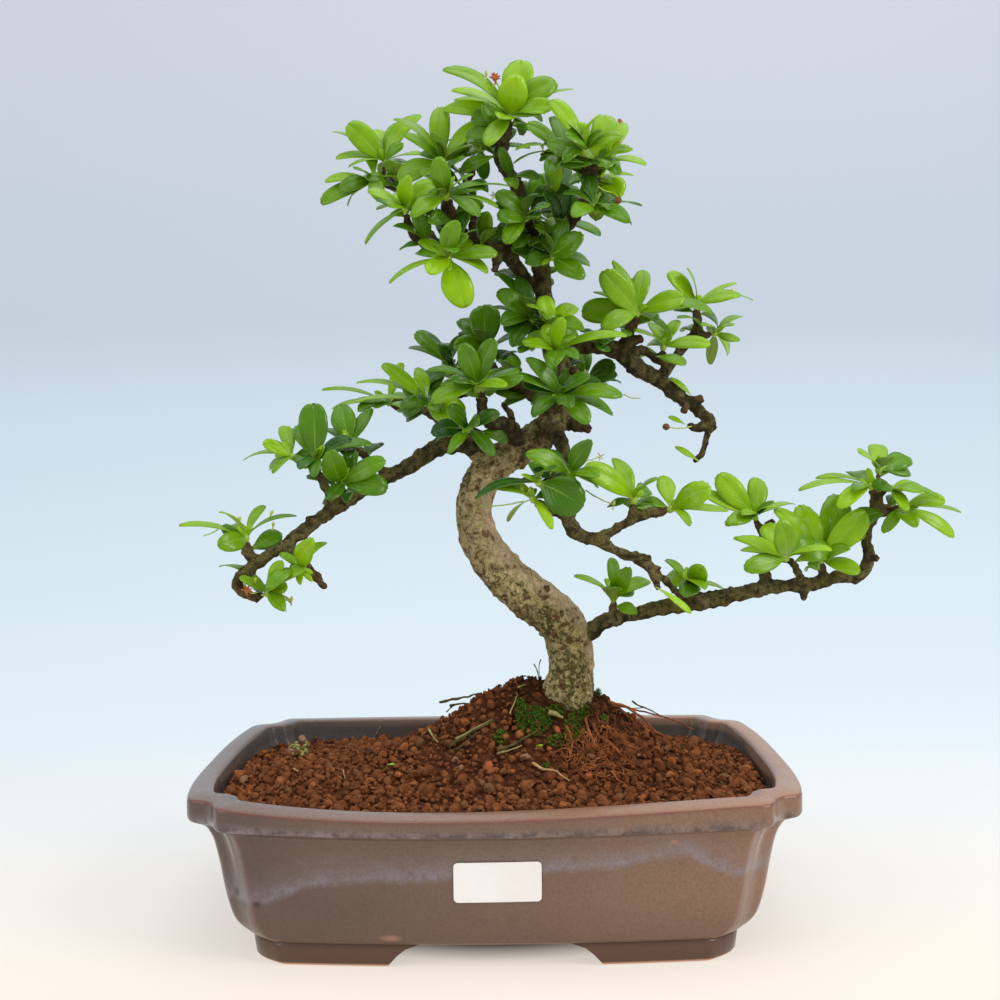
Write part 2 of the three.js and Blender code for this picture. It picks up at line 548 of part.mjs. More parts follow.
// Leaves of each shoot: x and z of the tip as seen, its depth behind the shoot, how far it faces the eye
// and its width. A leaf that looks short leans further forward or back, up to a common leaf's length.
const SHOOTS = {
  left_hook: [[-100, 160.5, -4, 0.6, 8], [-90, 157, -8, 0.5, 8.5], [-98, 149, -2, 0.6, 7],
    [-130, 160, 4, 0.2, 5], [-96, 141, 4, 0.3, 5]],
  left_tip: [[-149, 179, 0, 0.2, 6.5], [-128.5, 185.5, -4, 0.3, 6.5], [-92.5, 182.5, 3, 0.2, 5.5],
    [-130, 169, -6, 0.9, 9], [-126, 177, 5, 0.4, 6], [-108, 188, 6, 0.3, 5]],
  left_under: [[-86, 171, -2, 0.8, 9.5], [-79, 170.5, 4, 0.3, 5.5], [-101, 165, 6, 0.4, 5]],
  left_outer: [[-107.5, 217, -3, 0.6, 9], [-117.5, 209, 2, 0.3, 6.5], [-99, 226, 5, 0.5, 7],
    [-104, 203, -4, 0.4, 5]],
  left_high: [[-84, 236, 1, 0.9, 13], [-92, 226, 4, 0.8, 9], [-57, 217, -4, 0.4, 8], [-91, 205, -5, 0.5, 6.5],
    [-84, 201, -9, 0.6, 6]],
  left_inner: [[-76, 213, -2, 0.8, 11], [-64, 213, 3, 0.6, 8], [-50.5, 208.5, -3, 0.75, 9],
    [-49.5, 195.5, -7, 0.75, 11], [-77.5, 189.5, -5, 0.8, 7]],
  left_behind: [[-71, 235.5, 0, 0.9, 12], [-56.5, 233.5, 3, 0.6, 6.5], [-79, 224, 5, 0.3, 6]],
  middle_far: [[-76, 233, -2, 0.25, 6.5], [-80, 243.5, 4, 0.2, 6], [-66, 237, 6, 0.3, 6],
    [-42, 254, -4, 0.5, 7]],
  middle_left: [[-66.5, 236, -3, 0.25, 8], [-51, 254.5, 2, 0.4, 9], [-64, 245.5, 5, 0.25, 6.5],
    [-13, 227, -9, 0.9, 14], [-36, 247, -4, 0.6, 8]],
  middle_front: [[-28.5, 236, -6, 0.5, 10], [-13, 262.5, -2, 0.75, 9.5], [1, 265, -5, 0.6, 9],
    [13, 250, -6, 0.3, 8.5], [6.5, 243, -11, 0.6, 7.5], [-30, 252, 4, 0.25, 7]],
  middle_low: [[-20.5, 211.5, -3, 0.8, 5.5], [0.5, 209.5, -6, 0.6, 6.5], [-19.5, 233, -3, 0.7, 8],
    [3, 230, -6, 0.7, 7]],
  middle_high: [[-3, 281.5, 0, 0.9, 16], [-17, 262.5, -8, 0.7, 10], [-15, 275, 6, 0.6, 10],
    [20, 269.5, -6, 0.4, 8], [14, 252, -8, 0.7, 9]],
  middle_back: [[-35.5, 269, 4, 0.6, 10], [-39, 261.5, 0, 0.3, 7.5], [-30, 268, -6, 0.4, 8],
    [-14, 268, -7, 0.3, 8], [-34, 247, 6, 0.3, 8]],
  trunk_left: [[4, 296.5, 2, 0.3, 7], [3.5, 287, -3, 0.7, 9.5], [1, 280.5, -6, 0.3, 8],
    [13, 294, 5, 0.6, 8], [5, 272, -2, 0.6, 9], [10, 262, -7, 0.5, 9]],
  trunk_front: [[1, 250, -5, 0.4, 9], [62, 238.5, -6, 0.5, 9], [46, 247, -8, 0.6, 8.5],
    [45.5, 224.5, -6, 0.7, 9],
    [58, 229.5, 3, 0.5, 8], [17, 256, -3, 0.6, 8.5], [19, 228.5, -4, 0.5, 8]],
  trunk_upper: [[64, 267, -4, 0.4, 9], [15, 262.5, -5, 0.6, 8], [34, 274, -8, 0.6, 8]],
  trunk_right: [[40, 274, -2, 0.25, 7], [17, 281, -5, 0.3, 7], [40, 281, 5, 0.6, 9]],
  trunk_behind: [[43, 259.5, 0, 0.8, 10], [58, 252.5, -2, 0.9, 11], [54, 243, 0, 0.6, 7]],
  right_spur: [[57.5, 301, -2, 0.5, 8], [53, 296, -5, 0.9, 13], [72, 297, 3, 0.6, 9], [48.5, 287, 4, 0.4, 7],
    [42, 277, 6, 0.9, 13], [52, 269, -4, 0.8, 9], [91, 284, -6, 0.7, 11], [105, 276.5, 0, 0.4, 9],
    [85.5, 266.5, 4, 0.5, 8]],
  right_high: [[83.5, 295, -2, 0.6, 10], [93, 297, -6, 0.4, 7], [115.5, 290, 4, 0.25, 6],
    [117, 285, -2, 0.6, 9],
    [123.5, 281.5, 4, 0.25, 6]],
  right_end: [[112, 256.5, 0, 0.7, 8], [113.5, 270.5, -4, 0.5, 6.5], [118, 274, 4, 0.25, 6],
    [103, 252, 5, 0.4, 6]],
  right_fork: [[103.5, 261.5, -6, 0.6, 8.5], [67.5, 268, -3, 0.5, 7], [74, 272, 4, 0.4, 6.5],
    [88, 273, -3, 0.4, 7]],
  lower_top: [[16.5, 211, -2, 0.7, 10], [46.5, 216.5, -4, 0.7, 9], [50, 200, -7, 0.5, 8],
    [50, 195.5, 5, 0.6, 8]],
  lower_round: [[42.5, 185.5, -5, 0.95, 17], [-9, 191, -3, 0.3, 8], [19, 207, 4, 0.6, 6],
    [29, 204, -6, 0.6, 8]],
  lower_left: [[6.5, 179, 0, 0.3, 4.5], [28, 175, -4, 0.5, 5]],
  lower_spur: [[43.5, 204.5, -2, 0.7, 11], [57, 208.5, 4, 0.5, 8], [77, 198.5, -4, 0.5, 8]],
  lower_end: [[80.5, 200.5, 3, 0.6, 9], [102.5, 194.5, -4, 0.7, 12], [111.5, 183, 2, 0.25, 8],
    [93, 176, -4, 0.3, 5]],
  long_first: [[38.5, 153.5, -2, 0.3, 7], [64, 156, -4, 0.75, 9], [74, 150.5, 2, 0.5, 8],
    [56, 162, 5, 0.4, 6]],
  long_second: [[81, 152.5, 0, 0.9, 10], [99, 156, -3, 0.8, 10], [110, 145, 3, 0.3, 6],
    [81.5, 160.5, 5, 0.3, 5]],
  long_upright: [[106.5, 200.5, 0, 0.75, 12], [125, 199, 4, 0.8, 10], [97, 192.5, -5, 0.5, 9],
    [110, 176.5, -6, 0.6, 8], [142.5, 186, 4, 0.25, 6.5], [134.5, 184.5, -5, 0.4, 6]],
  long_curved: [[114.5, 171, -4, 0.5, 9], [118.5, 155, -6, 0.75, 9], [128, 176.5, 2, 0.8, 10],
    [136, 177.5, -5, 0.8, 12], [116.5, 164.5, 6, 0.4, 6], [160, 165, -9, 0.25, 7]],
  long_third: [[133.5, 184, -4, 0.5, 9.5], [145, 186, 5, 0.7, 13], [164, 191, 7, 0.85, 15],
    [177, 182, 8, 0.8, 13], [176, 172.5, -3, 0.6, 9], [173.5, 153.5, -6, 0.5, 9]],
  long_outward: [[213.5, 187, -2, 0.5, 8.5], [219, 169.5, 0, 0.6, 7.5], [221.5, 181, 4, 0.2, 6],
    [184, 171.5, 6, 0.7, 6]],
  long_left: [[144, 193.5, -3, 0.25, 7], [152, 198.5, 4, 0.2, 6], [163, 184, -4, 0.5, 8]],
  long_right: [[202.5, 193.5, 2, 0.3, 7], [210.5, 189.5, -3, 0.3, 7], [195.5, 181.5, -6, 0.6, 6]],
  long_top: [[172.5, 210, -3, 0.5, 9], [194.5, 204, 0, 0.7, 10], [180, 214, 4, 0.6, 9],
    [187, 208, -8, 0.6, 8]],
  crown_top: [[15.5, 394.5, 5, 0.95, 14.5], [13, 387, -7, 0.95, 14], [31.5, 385, -3, 0.8, 12],
    [39.5, 381.5, 8, 0.25, 9], [30, 373.5, -8, 0.8, 9], [-21, 391.5, -5, 0.5, 9.5], [-17, 382.5, 6, 0.4, 10],
    [-16, 377.5, -9, 0.3, 7], [-22, 373, 10, 0.8, 11], [25, 366.5, 4, 0.3, 7], [-1, 355, -10, 0.7, 9]],
  crown_inner: [[19.5, 353.5, -9, 0.35, 8.5], [11, 360.5, -1, 0.25, 8], [-2, 339, -7, 0.7, 7],
    [-14, 357, 5, 0.5, 8], [-22, 342, 6, 0.6, 9]],
  crown_middle: [[-0.5, 368, -4, 0.6, 10], [-44.5, 368, 0, 0.35, 8], [-39, 361.5, -6, 0.5, 9.5],
    [-8.5, 355.5, -6, 0.4, 8.5], [-22, 374, 4, 0.8, 10], [-44, 340, 3, 0.7, 12], [-30, 336, 2, 0.7, 9]],
  crown_far: [[-73, 362.5, 3, 0.25, 8], [-66, 366, -4, 0.8, 13], [-32, 370, 0, 0.6, 10],
    [-41, 367, 8, 0.5, 9],
    [-72, 350.5, 4, 0.4, 9.5], [-32, 351.7, -8, 0.3, 8], [-66, 346.5, -7, 0.25, 7]],
  crown_outer: [[-77.5, 339.5, 0, 0.4, 9.5], [-80, 329.5, -4, 0.6, 10.5], [-67.5, 328, 5, 0.5, 7],
    [-63, 345, -8, 0.5, 7], [-52, 330, -6, 0.6, 8]],
  crown_front: [[-24, 349.5, -5, 0.7, 9], [-8.5, 342, -6, 0.5, 9], [10.5, 336.5, -3, 0.2, 8],
    [4.5, 327, -7, 0.3, 7], [-37, 322.5, -7, 0.6, 9.5], [-5, 322.5, -8, 0.5, 8]],
  crown_left: [[-38, 340.5, -6, 0.7, 9], [-57, 334.5, -3, 0.5, 10], [-24, 337.5, -8, 0.8, 11],
    [-53, 326, 5, 0.2, 6], [-59.5, 310, 0, 0.3, 7.5]],
  crown_hanging: [[-48.5, 292, -3, 0.3, 8], [-11.5, 280, -4, 0.95, 14], [-5.5, 298, 2, 0.3, 7],
    [3.5, 305, -7, 0.6, 9], [-15, 320, -7, 0.7, 9], [-33, 312, 3, 0.5, 8], [-29, 296, -8, 0.6, 9],
    [-1, 296, -3, 0.5, 7]],
  crown_centre: [[4, 321.5, -8, 0.7, 9], [7.5, 309.5, -8, 0.75, 8.5], [3, 333, -4, 0.8, 9],
    [27, 327, -7, 0.6, 8]],
  crown_back: [[23, 342, 0, 0.9, 15], [42.5, 334, -3, 0.8, 13], [12.5, 338, 3, 0.6, 10],
    [37, 345.5, 5, 0.7, 10],
    [52.5, 313, -6, 0.35, 9]],
  crown_low: [[43.5, 293, -3, 0.8, 11], [47, 299.5, 3, 0.6, 9], [43, 313, -3, 0.8, 12],
    [35, 321, -8, 0.6, 8]],
  crown_right: [[18, 365.5, -3, 0.6, 9], [12, 353.5, -7, 0.25, 8], [30, 369, 5, 0.3, 8],
    [11, 347.5, 3, 0.2, 8], [27, 342, -7, 0.5, 7]],
  crown_high: [[29.5, 376.5, 0, 0.5, 9], [51, 369, -2, 0.4, 8], [37, 365, -8, 0.5, 8], [62, 359, -4, 0.6, 8]],
  crown_edge: [[63, 366, 3, 0.6, 9], [54.5, 369, 5, 0.8, 12], [49, 361, -8, 0.8, 11],
    [73.5, 345.5, -3, 0.4, 8.5],
    [66, 353, -8, 0.6, 8]],
  crown_side: [[65, 319.5, -3, 0.7, 9], [71.5, 327.5, 0, 0.25, 7], [39, 322, -9, 0.6, 9]],
  crown_bright: [[61, 330, -2, 0.9, 13], [67, 341, 4, 0.3, 7]],
};

// How many further leaves, each at a place drawn by a rule, fill the thick shoots.
const FURTHER_LEAVES = {
  crown_top: 2, crown_inner: 2, crown_middle: 2, crown_far: 1, crown_outer: 1, crown_front: 2, crown_left: 1,
  crown_centre: 3, crown_back: 1, crown_low: 1, crown_right: 2, crown_high: 2, crown_edge: 1, crown_side: 1,
  crown_bright: 1, middle_left: 1, middle_front: 1, middle_high: 2, middle_back: 2, trunk_left: 1,
  trunk_upper: 2, trunk_right: 2, trunk_behind: 1, right_spur: 1,
};
const FURTHER_REACH = [9, 19];
const FURTHER_WIDTH = [7, 11];
const FURTHER_BEHIND = 0.7;
const GOLDEN_TURN = 2.4;

// How far a leaf may swing back or forward, in turn, to clear what stands in its way.
const SWINGS = [0, 5, -5, 9, -9, 13, -13, 17, -17, 22, -22];

// Half of a leaf's outline past its pointed root: share of its length, share of its width.
const LEAF_HALF = [
  [0.6, 0.5],
  [0.95, 0.3],
];
const LEAF_NOTCH = 0.92;
const LEAF_RIB = 0.55;
const BLADE_START = 0.1;

function leafSlab(root, tip, facing, width, arch, thick) {
  const along = tip.clone().sub(root);
  const length = along.length();
  along.normalize();
  const normal = new THREE.Vector3(0, -facing, 1.05 - facing);
  normal.addScaledVector(along, -normal.dot(along)).normalize();
  const across = new THREE.Vector3().crossVectors(normal, along);
  const place = (far, side) => {
    const blade = Math.max(0, (far - BLADE_START) / (1 - BLADE_START));
    const lift = arch * length * 4 * far * (1 - far) + LEAF_CUP * width * Math.abs(side) * blade;
    return root
      .clone()
      .addScaledVector(along, far * length)
      .addScaledVector(across, side * width)
      .addScaledVector(normal, lift);
  };
  const outline = [
    place(0, 0),
    ...LEAF_HALF.map(([far, side]) => place(far, -side)),
    place(LEAF_NOTCH, 0),
    ...[...LEAF_HALF].reverse().map(([far, side]) => place(far, side)),
  ];
  const rib = place(LEAF_RIB, 0);
  const count = outline.length;
  const half = normal.clone().multiplyScalar(thick / 2);
  const points = [...outline, rib].map((point) => point.clone().add(half));
  points.push(...[...outline, rib].map((point) => point.clone().sub(half)));
  const faces = [];
  for (let i = 0; i < count; i++) {
    const next = (i + 1) % count;
    const below = count + 1;
    faces.push([count, i, next], [count + below, next + below, i + below]);
    faces.push([i, i + below, next + below], [i, next + below, next]);
  }
  return geometryOf(points, faces);
}

function boxOf(geometry) {
  geometry.computeBoundingBox();
  return geometry.boundingBox;
}

// What is already built, for the leaves to keep clear of.
const standing = [];

function stands(geometry, node) {
  const solid = solidOf(geometry);
  standing.push({ box: boxOf(geometry), solid, node });
  return solid;
}

function isClear(geometry, counts) {
  const box = boxOf(geometry);
  const solid = solidOf(geometry);
  return !standing.some(
    (other) => counts(other.node) && box.intersectsBox(other.box) && !solid.intersect(other.solid).isEmpty(),
  );
}

function fuse(solids) {
  return solids.reduce((whole, next) => whole.add(next));
}

const radiiOf = (route) => route.map((row) => row[3]);

function wood() {
  const grow = (route, sides, rough, seed) =>
    stands(limb(grownRoute(route), radiiOf(route), sides, rough, 0, seed), "wood");
  return fuse([
    grow(TRUNK, 10, BARK_ROUGHNESS / 2, 1),
    ...BRANCHES.map((route, i) => grow(route, 5, BARK_ROUGHNESS, 20 + i)),
    ...Object.values(TWIGS).map((route, i) => grow(route, 4, BARK_ROUGHNESS, 60 + i)),
    ...STUBS.map((route, i) => grow(route, 4, BARK_ROUGHNESS, 160 + i)),
  ]);
}

// A green bud just off the end of a shoot's twig.
function budOf(name) {
  const ends = TWIGS[name].slice(-2).map(onTree);
  const along = ends[1].clone().sub(ends[0]).normalize();
  const root = ends[1].clone().addScaledVector(along, GAP + BUD_HALF_LENGTH);
  const bud = new THREE.OctahedronGeometry(BUD_RADIUS);
  bud.scale(1, 1, BUD_HALF_LENGTH / BUD_RADIUS);
  bud.applyQuaternion(new THREE.Quaternion().setFromUnitVectors(new THREE.Vector3(0, 0, 1), along));
  bud.translate(root.x, root.y, root.z);
  return { name, root, solid: stands(bud, name) };
}

// A shoot's rows of leaves: its own, then its further ones round its bud, more of them behind than in front.
function leafRows(name, root, seed) {
  const random = randomSource(seed);
  const between = ([low, high]) => THREE.MathUtils.lerp(low, high, random());
  const middle = EYE.clone().add(root.clone().sub(EYE).multiplyScalar(-EYE.y / (root.y - EYE.y)));
  const further = Array.from({ length: FURTHER_LEAVES[name] ?? 0 }, (_, k) => {
    const turn = (k + random()) * GOLDEN_TURN;
    const reach = between(FURTHER_REACH);
    const depth = random() < FURTHER_BEHIND ? 4 : -4;
    const facing = 0.3 + 0.5 * random();
    const [x, z] = [middle.x + reach * Math.cos(turn), middle.z + reach * Math.sin(turn)];
    return [x, z, depth, facing, between(FURTHER_WIDTH)];
  });
  return [...SHOOTS[name], ...further];
}

// A shoot: its bud and the leaves that open from it.
function shoot({ name, root, solid }, seed) {
  const random = randomSource(seed);
  const solids = [solid];
  const blades = name + " blades";
  for (const [x, z, depth, facing, width] of leafRows(name, root, seed + 1000)) {
    const arch = 0.05 + 0.1 * random();
    const flat = seen(x, z, root.y).distanceTo(root);
    const hidden = Math.sqrt(Math.max(0, LEAF_LENGTH ** 2 - flat ** 2));
    const lean = Math.sign(depth || 1) * Math.max(Math.abs(depth), LEAF_LEAN * hidden);
    const slab = (swing, from, extra) => {
      const tip = seen(x, z, root.y + lean + swing);
      const away = tip.clone().sub(root).normalize();
      const start = root.clone().addScaledVector(away, from);
      return leafSlab(start, tip, facing, width + extra, arch, LEAF_THICK + extra);
    };
    const clearOfOthers = SWINGS.filter((swing) =>
      isClear(slab(swing, LEAF_START, 2 * LEAF_CLEAR), (node) => node !== name && node !== blades),
    );
    const clearOfOwn = clearOfOthers.filter((swing) =>
      isClear(slab(swing, LEAF_FREE, 2 * LEAF_CLEAR), (node) => node === blades),
    );
    const swing = [...clearOfOwn, ...clearOfOthers][0];
    if (swing === undefined) continue;
    solids.push(stands(slab(swing, LEAF_START, 0), name));
    stands(slab(swing, LEAF_FREE, 0), blades);
  }
  return fuse(solids);
}

// A blank paper label on the pot's front, bent to it.
function frontSurface(x, z) {
  const sag = rimSag(x, -POT_HALF_DEPTH);
  const height = (row) => row[0] - row[3] * sag;
  const above = WALL.findIndex((row) => height(row) > z);
  const [low, high] = [WALL[above - 1], WALL[above]];
  const share = (z - height(low)) / (height(high) - height(low));
  const insetX = THREE.MathUtils.lerp(low[1], high[1], share);
  const insetY = THREE.MathUtils.lerp(low[2], high[2], share);
  const plain = THREE.MathUtils.lerp(low[4], high[4], share);
  const planX = (x * POT_HALF_WIDTH) / (POT_HALF_WIDTH - insetX);
  return (-longSide(planX, plain) * (POT_HALF_DEPTH - insetY)) / POT_HALF_DEPTH;
}

function label() {
  const steps = 6;
  const rings = [];
  for (let i = 0; i <= steps; i++) {
    const x = THREE.MathUtils.lerp(LABEL.left, LABEL.right, i / steps);
    const corner = i === 0 || i === steps ? 1 : 0;
    const low = LABEL.low + corner;
    const high = LABEL.high - corner;
    const back = (z) => frontSurface(x, z) - GAP;
    rings.push([
      new THREE.Vector3(x, back(low), low),
      new THREE.Vector3(x, back(high), high),
      new THREE.Vector3(x, back(high) - LABEL.thick, high),
      new THREE.Vector3(x, back(low) - LABEL.thick, low),
    ]);
  }
  return solidOf(loft(rings));
}

const materials = {
  glaze: new THREE.MeshStandardMaterial({ color: 0x75675f, roughness: 0.3 }),
  soil: new THREE.MeshStandardMaterial({ color: 0x6b3524, roughness: 0.95 }),
  bark: new THREE.MeshStandardMaterial({ color: 0x77644a, roughness: 0.9 }),
  leaf: new THREE.MeshStandardMaterial({ color: 0x5c9a1f, roughness: 0.4 }),
  net: new THREE.MeshStandardMaterial({ color: 0x22302a, roughness: 0.6 }),
  paper: new THREE.MeshStandardMaterial({ color: 0xf3f3f0, roughness: 0.6 }),
};

const tree = new THREE.Group();
tree.add(meshOf(wood(), "wood", materials.bark));
const buds = Object.keys(SHOOTS).map(budOf);
buds.forEach((bud, i) => {
  tree.add(meshOf(shoot(bud, 300 + i), bud.name + "_leaves", materials.leaf));
});

const potted = new THREE.Group();
const footRoute = TRUNK.slice(0, 8);
const footPoints = footRoute.map(onTree);
footPoints[0].z -= 3;
const trunkHole = solidOf(limb(footPoints, radiiOf(footRoute), 10, 0, 1 + GAP, 1));
potted.add(meshOf(pot(), "pot", materials.glaze));
potted.add(meshOf(drainScreen(-DRAIN_X), "drain_screen_left", materials.net));
potted.add(meshOf(drainScreen(DRAIN_X), "drain_screen_right", materials.net));
potted.add(meshOf(soil(trunkHole), "soil", materials.soil));
potted.add(meshOf(label(), "label", materials.paper));

const group = new THREE.Group();
group.add(tree, potted);
const bounds = new THREE.Box3().setFromObject(group);
const middle = bounds.getCenter(new THREE.Vector3());
group.position.set(-middle.x, -middle.y, -bounds.min.z);

export default group;
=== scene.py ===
"""A fukien tea bonsai in its glazed pot: bark, leaves, soil, moss, glaze, light and camera."""
import math

import bmesh
import bpy
import numpy as np
from mathutils import Matrix, Vector
from mathutils.kdtree import KDTree


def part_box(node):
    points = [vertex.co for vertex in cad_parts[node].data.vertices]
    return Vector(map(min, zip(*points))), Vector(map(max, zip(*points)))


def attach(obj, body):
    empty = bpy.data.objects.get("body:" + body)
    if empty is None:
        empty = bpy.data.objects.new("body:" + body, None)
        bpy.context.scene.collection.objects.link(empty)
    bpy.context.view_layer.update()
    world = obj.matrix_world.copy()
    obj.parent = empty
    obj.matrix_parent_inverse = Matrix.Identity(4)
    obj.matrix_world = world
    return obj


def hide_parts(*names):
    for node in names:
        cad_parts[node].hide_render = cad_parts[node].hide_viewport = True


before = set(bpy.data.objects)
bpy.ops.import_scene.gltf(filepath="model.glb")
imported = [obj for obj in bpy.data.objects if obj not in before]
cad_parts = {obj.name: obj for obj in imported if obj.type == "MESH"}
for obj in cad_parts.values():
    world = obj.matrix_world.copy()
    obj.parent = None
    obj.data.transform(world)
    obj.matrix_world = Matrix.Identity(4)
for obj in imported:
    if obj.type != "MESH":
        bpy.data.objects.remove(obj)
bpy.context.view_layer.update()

# The tree's and the pot's tables are in millimetres from the pot's centre on the table.
POT_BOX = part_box("pot")
SHIFT = np.array([(POT_BOX[0].x + POT_BOX[1].x) / 2, (POT_BOX[0].y + POT_BOX[1].y) / 2, 0.0]) * 1000

GAP = 0.35
EYE = np.array([5.9, -620.0, 214.2])
DEPTH_SPREAD = 2.2
LEAF_LENGTH = 24
LEAF_LEAN = 0.75
LEAF_CUP = 0.16
LEAF_THICK = 0.7
BUD_HALF_LENGTH = 2.4
LEAF_START = 0.7
GOLDEN_TURN = 2.4
FULL_TURN = 6.28

# Where each draw of random numbers starts.
SEEDS = {
    "bark": 77, "shoots": 300, "spurs": 808, "bed": 616, "grains": 4242, "litter": 515, "moss": 919,
    "buds": 333,
}


def seen(x, z, y):
    reach = (y - EYE[1]) / -EYE[1]
    return np.array([EYE[0] + (x - EYE[0]) * reach, y, EYE[2] + (z - EYE[2]) * reach])


def on_tree(row):
    return seen(row[0], row[1], row[2] * DEPTH_SPREAD)


def flat_place(point):
    """The x and z at which the eye sees this point in the pot's middle plane."""
    middle = EYE + (point - EYE) * (-EYE[1] / (point[1] - EYE[1]))
    return middle[[0, 2]]


def random_source(seed):
    """Numbers from 0 to 1, the same on every run."""
    state = [seed & 0xFFFFFFFF]

    def draw():
        state[0] = (state[0] * 1664525 + 1013904223) & 0xFFFFFFFF
        return state[0] / 4294967296

    return draw


def unit(v):
    return v / max(1e-9, float(np.linalg.norm(v)))


def lattice(ix, iy, iz, seed):
    h = (ix * 374761393 + iy * 668265263 + iz * 1440662683 + seed * 974634777) & 0xFFFFFFFF
    h = ((h ^ (h >> 13)) * 1274126177) & 0xFFFFFFFF
    return ((h ^ (h >> 16)) & 0xFFFF) / 32767.5 - 1.0


def noise3(points, scale, seed=0):
    """Smooth noise from -1 to 1, with lumps about scale across."""
    q = np.asarray(points, float) / scale
    cell = np.floor(q).astype(np.int64)
    f = q - cell
    f = f * f * (3 - 2 * f)
    total = np.zeros(len(q))
    for dx in (0, 1):
        for dy in (0, 1):
            for dz in (0, 1):
                weight = (f[:, 0] if dx else 1 - f[:, 0]) * (f[:, 1] if dy else 1 - f[:, 1])
                weight = weight * (f[:, 2] if dz else 1 - f[:, 2])
                total += weight * lattice(cell[:, 0] + dx, cell[:, 1] + dy, cell[:, 2] + dz, seed)
    return total


def smooth_step(low, high, value):
    t = np.clip((value - low) / (high - low), 0, 1)
    return t * t * (3 - 2 * t)


def curve_point(points, t):
    """A point at t, from 0 to 1, on the centripetal Catmull-Rom curve through the points."""
    count = len(points)
    p = (count - 1) * t
    k = int(math.floor(p))
    w = p - k
    if k >= count - 1:
        k, w = count - 2, 1.0
    p1, p2 = points[k], points[k + 1]
    p0 = points[k - 1] if k > 0 else 2 * points[0] - points[1]
    p3 = points[k + 2] if k + 2 < count else 2 * points[-1] - points[-2]
    d0 = np.sum((p0 - p1) ** 2) ** 0.25
    d1 = np.sum((p1 - p2) ** 2) ** 0.25
    d2 = np.sum((p2 - p3) ** 2) ** 0.25
    d1 = 1.0 if d1 < 1e-4 else d1
    d0 = d1 if d0 < 1e-4 else d0
    d2 = d1 if d2 < 1e-4 else d2
    t1 = ((p1 - p0) / d0 - (p2 - p0) / (d0 + d1) + (p2 - p1) / d1) * d1
    t2 = ((p2 - p1) / d1 - (p3 - p1) / (d1 + d2) + (p3 - p2) / d2) * d1
    c2 = -3 * p1 + 3 * p2 - 2 * t1 - t2
    c3 = 2 * p1 - 2 * p2 + t1 + t2
    return p1 + t1 * w + c2 * w * w + c3 * w ** 3


def sweep(centres, radii, sides, start_side=(0.3, 1, 0.1)):
    """Rings round a line of centres, closed at both ends. Returns points and faces."""
    centres = np.asarray(centres, float)
    tangents = np.gradient(centres, axis=0)
    side = np.array(start_side, float)
    points = []
    angles = np.arange(sides) * 2 * math.pi / sides
    for centre, tangent, radius in zip(centres, tangents, radii):
        tangent = unit(tangent)
        side = unit(side - tangent * float(side @ tangent))
        other = np.cross(tangent, side)
        points.append(centre + radius * (np.outer(np.cos(angles), side) + np.outer(np.sin(angles), other)))
    rings = len(points)
    return np.vstack(points + [centres[:1], centres[-1:]]), ring_faces(rings, sides)


def ring_faces(rings, sides):
    """Faces between rings of points, and a fan to one more point at each end."""
    faces = []
    for a in range(0, (rings - 1) * sides, sides):
        for i in range(sides):
            j = (i + 1) % sides
            faces.append((a + i, a + j, a + sides + j, a + sides + i))
    low, high, last = rings * sides, rings * sides + 1, (rings - 1) * sides
    for i in range(sides):
        j = (i + 1) % sides
        faces += [(low, j, i), (high, last + i, last + j)]
    return faces


def grid_faces(columns, rows):
    """The faces of a grid of points that lie row by row."""
    starts = [r * columns + c for r in range(rows - 1) for c in range(columns - 1)]
    return [(a, a + 1, a + columns + 1, a + columns) for a in starts]


def grid_edge(columns, rows):
    """Pairs of neighbours round the edge of such a grid."""
    edge = list(range(columns - 1)) + [r * columns - 1 for r in range(1, rows)]
    edge += list(range(rows * columns - 1, (rows - 1) * columns, -1))
    edge += [r * columns for r in range(rows - 1, 0, -1)]
    return list(zip(edge, edge[1:] + edge[:1]))


def sheet_faces(columns, rows):
    """A thin sheet: the front, the back with as many points again, and the edge between them."""
    count = columns * rows
    faces = []
    for a, b, c, d in grid_faces(columns, rows):
        faces += [(a, b, c, d), (count + a, count + d, count + c, count + b)]
    return faces + [(a, count + a, count + b, b) for a, b in grid_edge(columns, rows)]


class Shape:
    """Gathers points, faces and per-point colour values for one piece."""

    def __init__(self):
        self.points = []
        self.faces = []
        self.values = []
        self.count = 0

    def add(self, points, faces, values=None):
        points = np.asarray(points, float)
        base = self.count
        self.points.append(points)
        self.faces.extend(tuple(base + i for i in face) for face in faces)
        if values is None:
            values = np.zeros((len(points), 4))
        self.values.append(np.broadcast_to(np.asarray(values, float), (len(points), 4)))
        self.count += len(points)

    def build(self, name, material, smooth=True, attribute=None):
        mesh = bpy.data.meshes.new(name)
        points = (np.vstack(self.points) + SHIFT) / 1000
        mesh.from_pydata(points.tolist(), [], self.faces)
        if attribute:
            store_values(mesh, attribute, np.vstack(self.values))
        mesh.validate()
        mesh.update()
        mesh.polygons.foreach_set("use_smooth", [smooth] * len(mesh.polygons))
        return place(name, mesh, material)


def link(name, data):
    made = bpy.data.objects.new(name, data)
    bpy.context.scene.collection.objects.link(made)
    return made


def dress(mesh, material):
    mesh.materials.clear()
    mesh.materials.append(material)


def place(name, mesh, material):
    piece = link(name, mesh)
    dress(mesh, material)
    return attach(piece, "root")


def store_values(mesh, name, values):
    """Four numbers for each point, which the material reads by this name."""
    layer = mesh.color_attributes.new(name, "FLOAT_COLOR", "POINT")
    layer.data.foreach_set("color", values.astype(np.float32).ravel())


def vectors(items, key):
    found = np.empty(len(items) * 3, np.float32)
    items.foreach_get(key, found)
    return found.reshape(-1, 3).astype(float)


def points_of(mesh):
    return vectors(mesh.vertices, "co")


def normals_of(mesh):
    return vectors(mesh.vertex_normals, "vector")


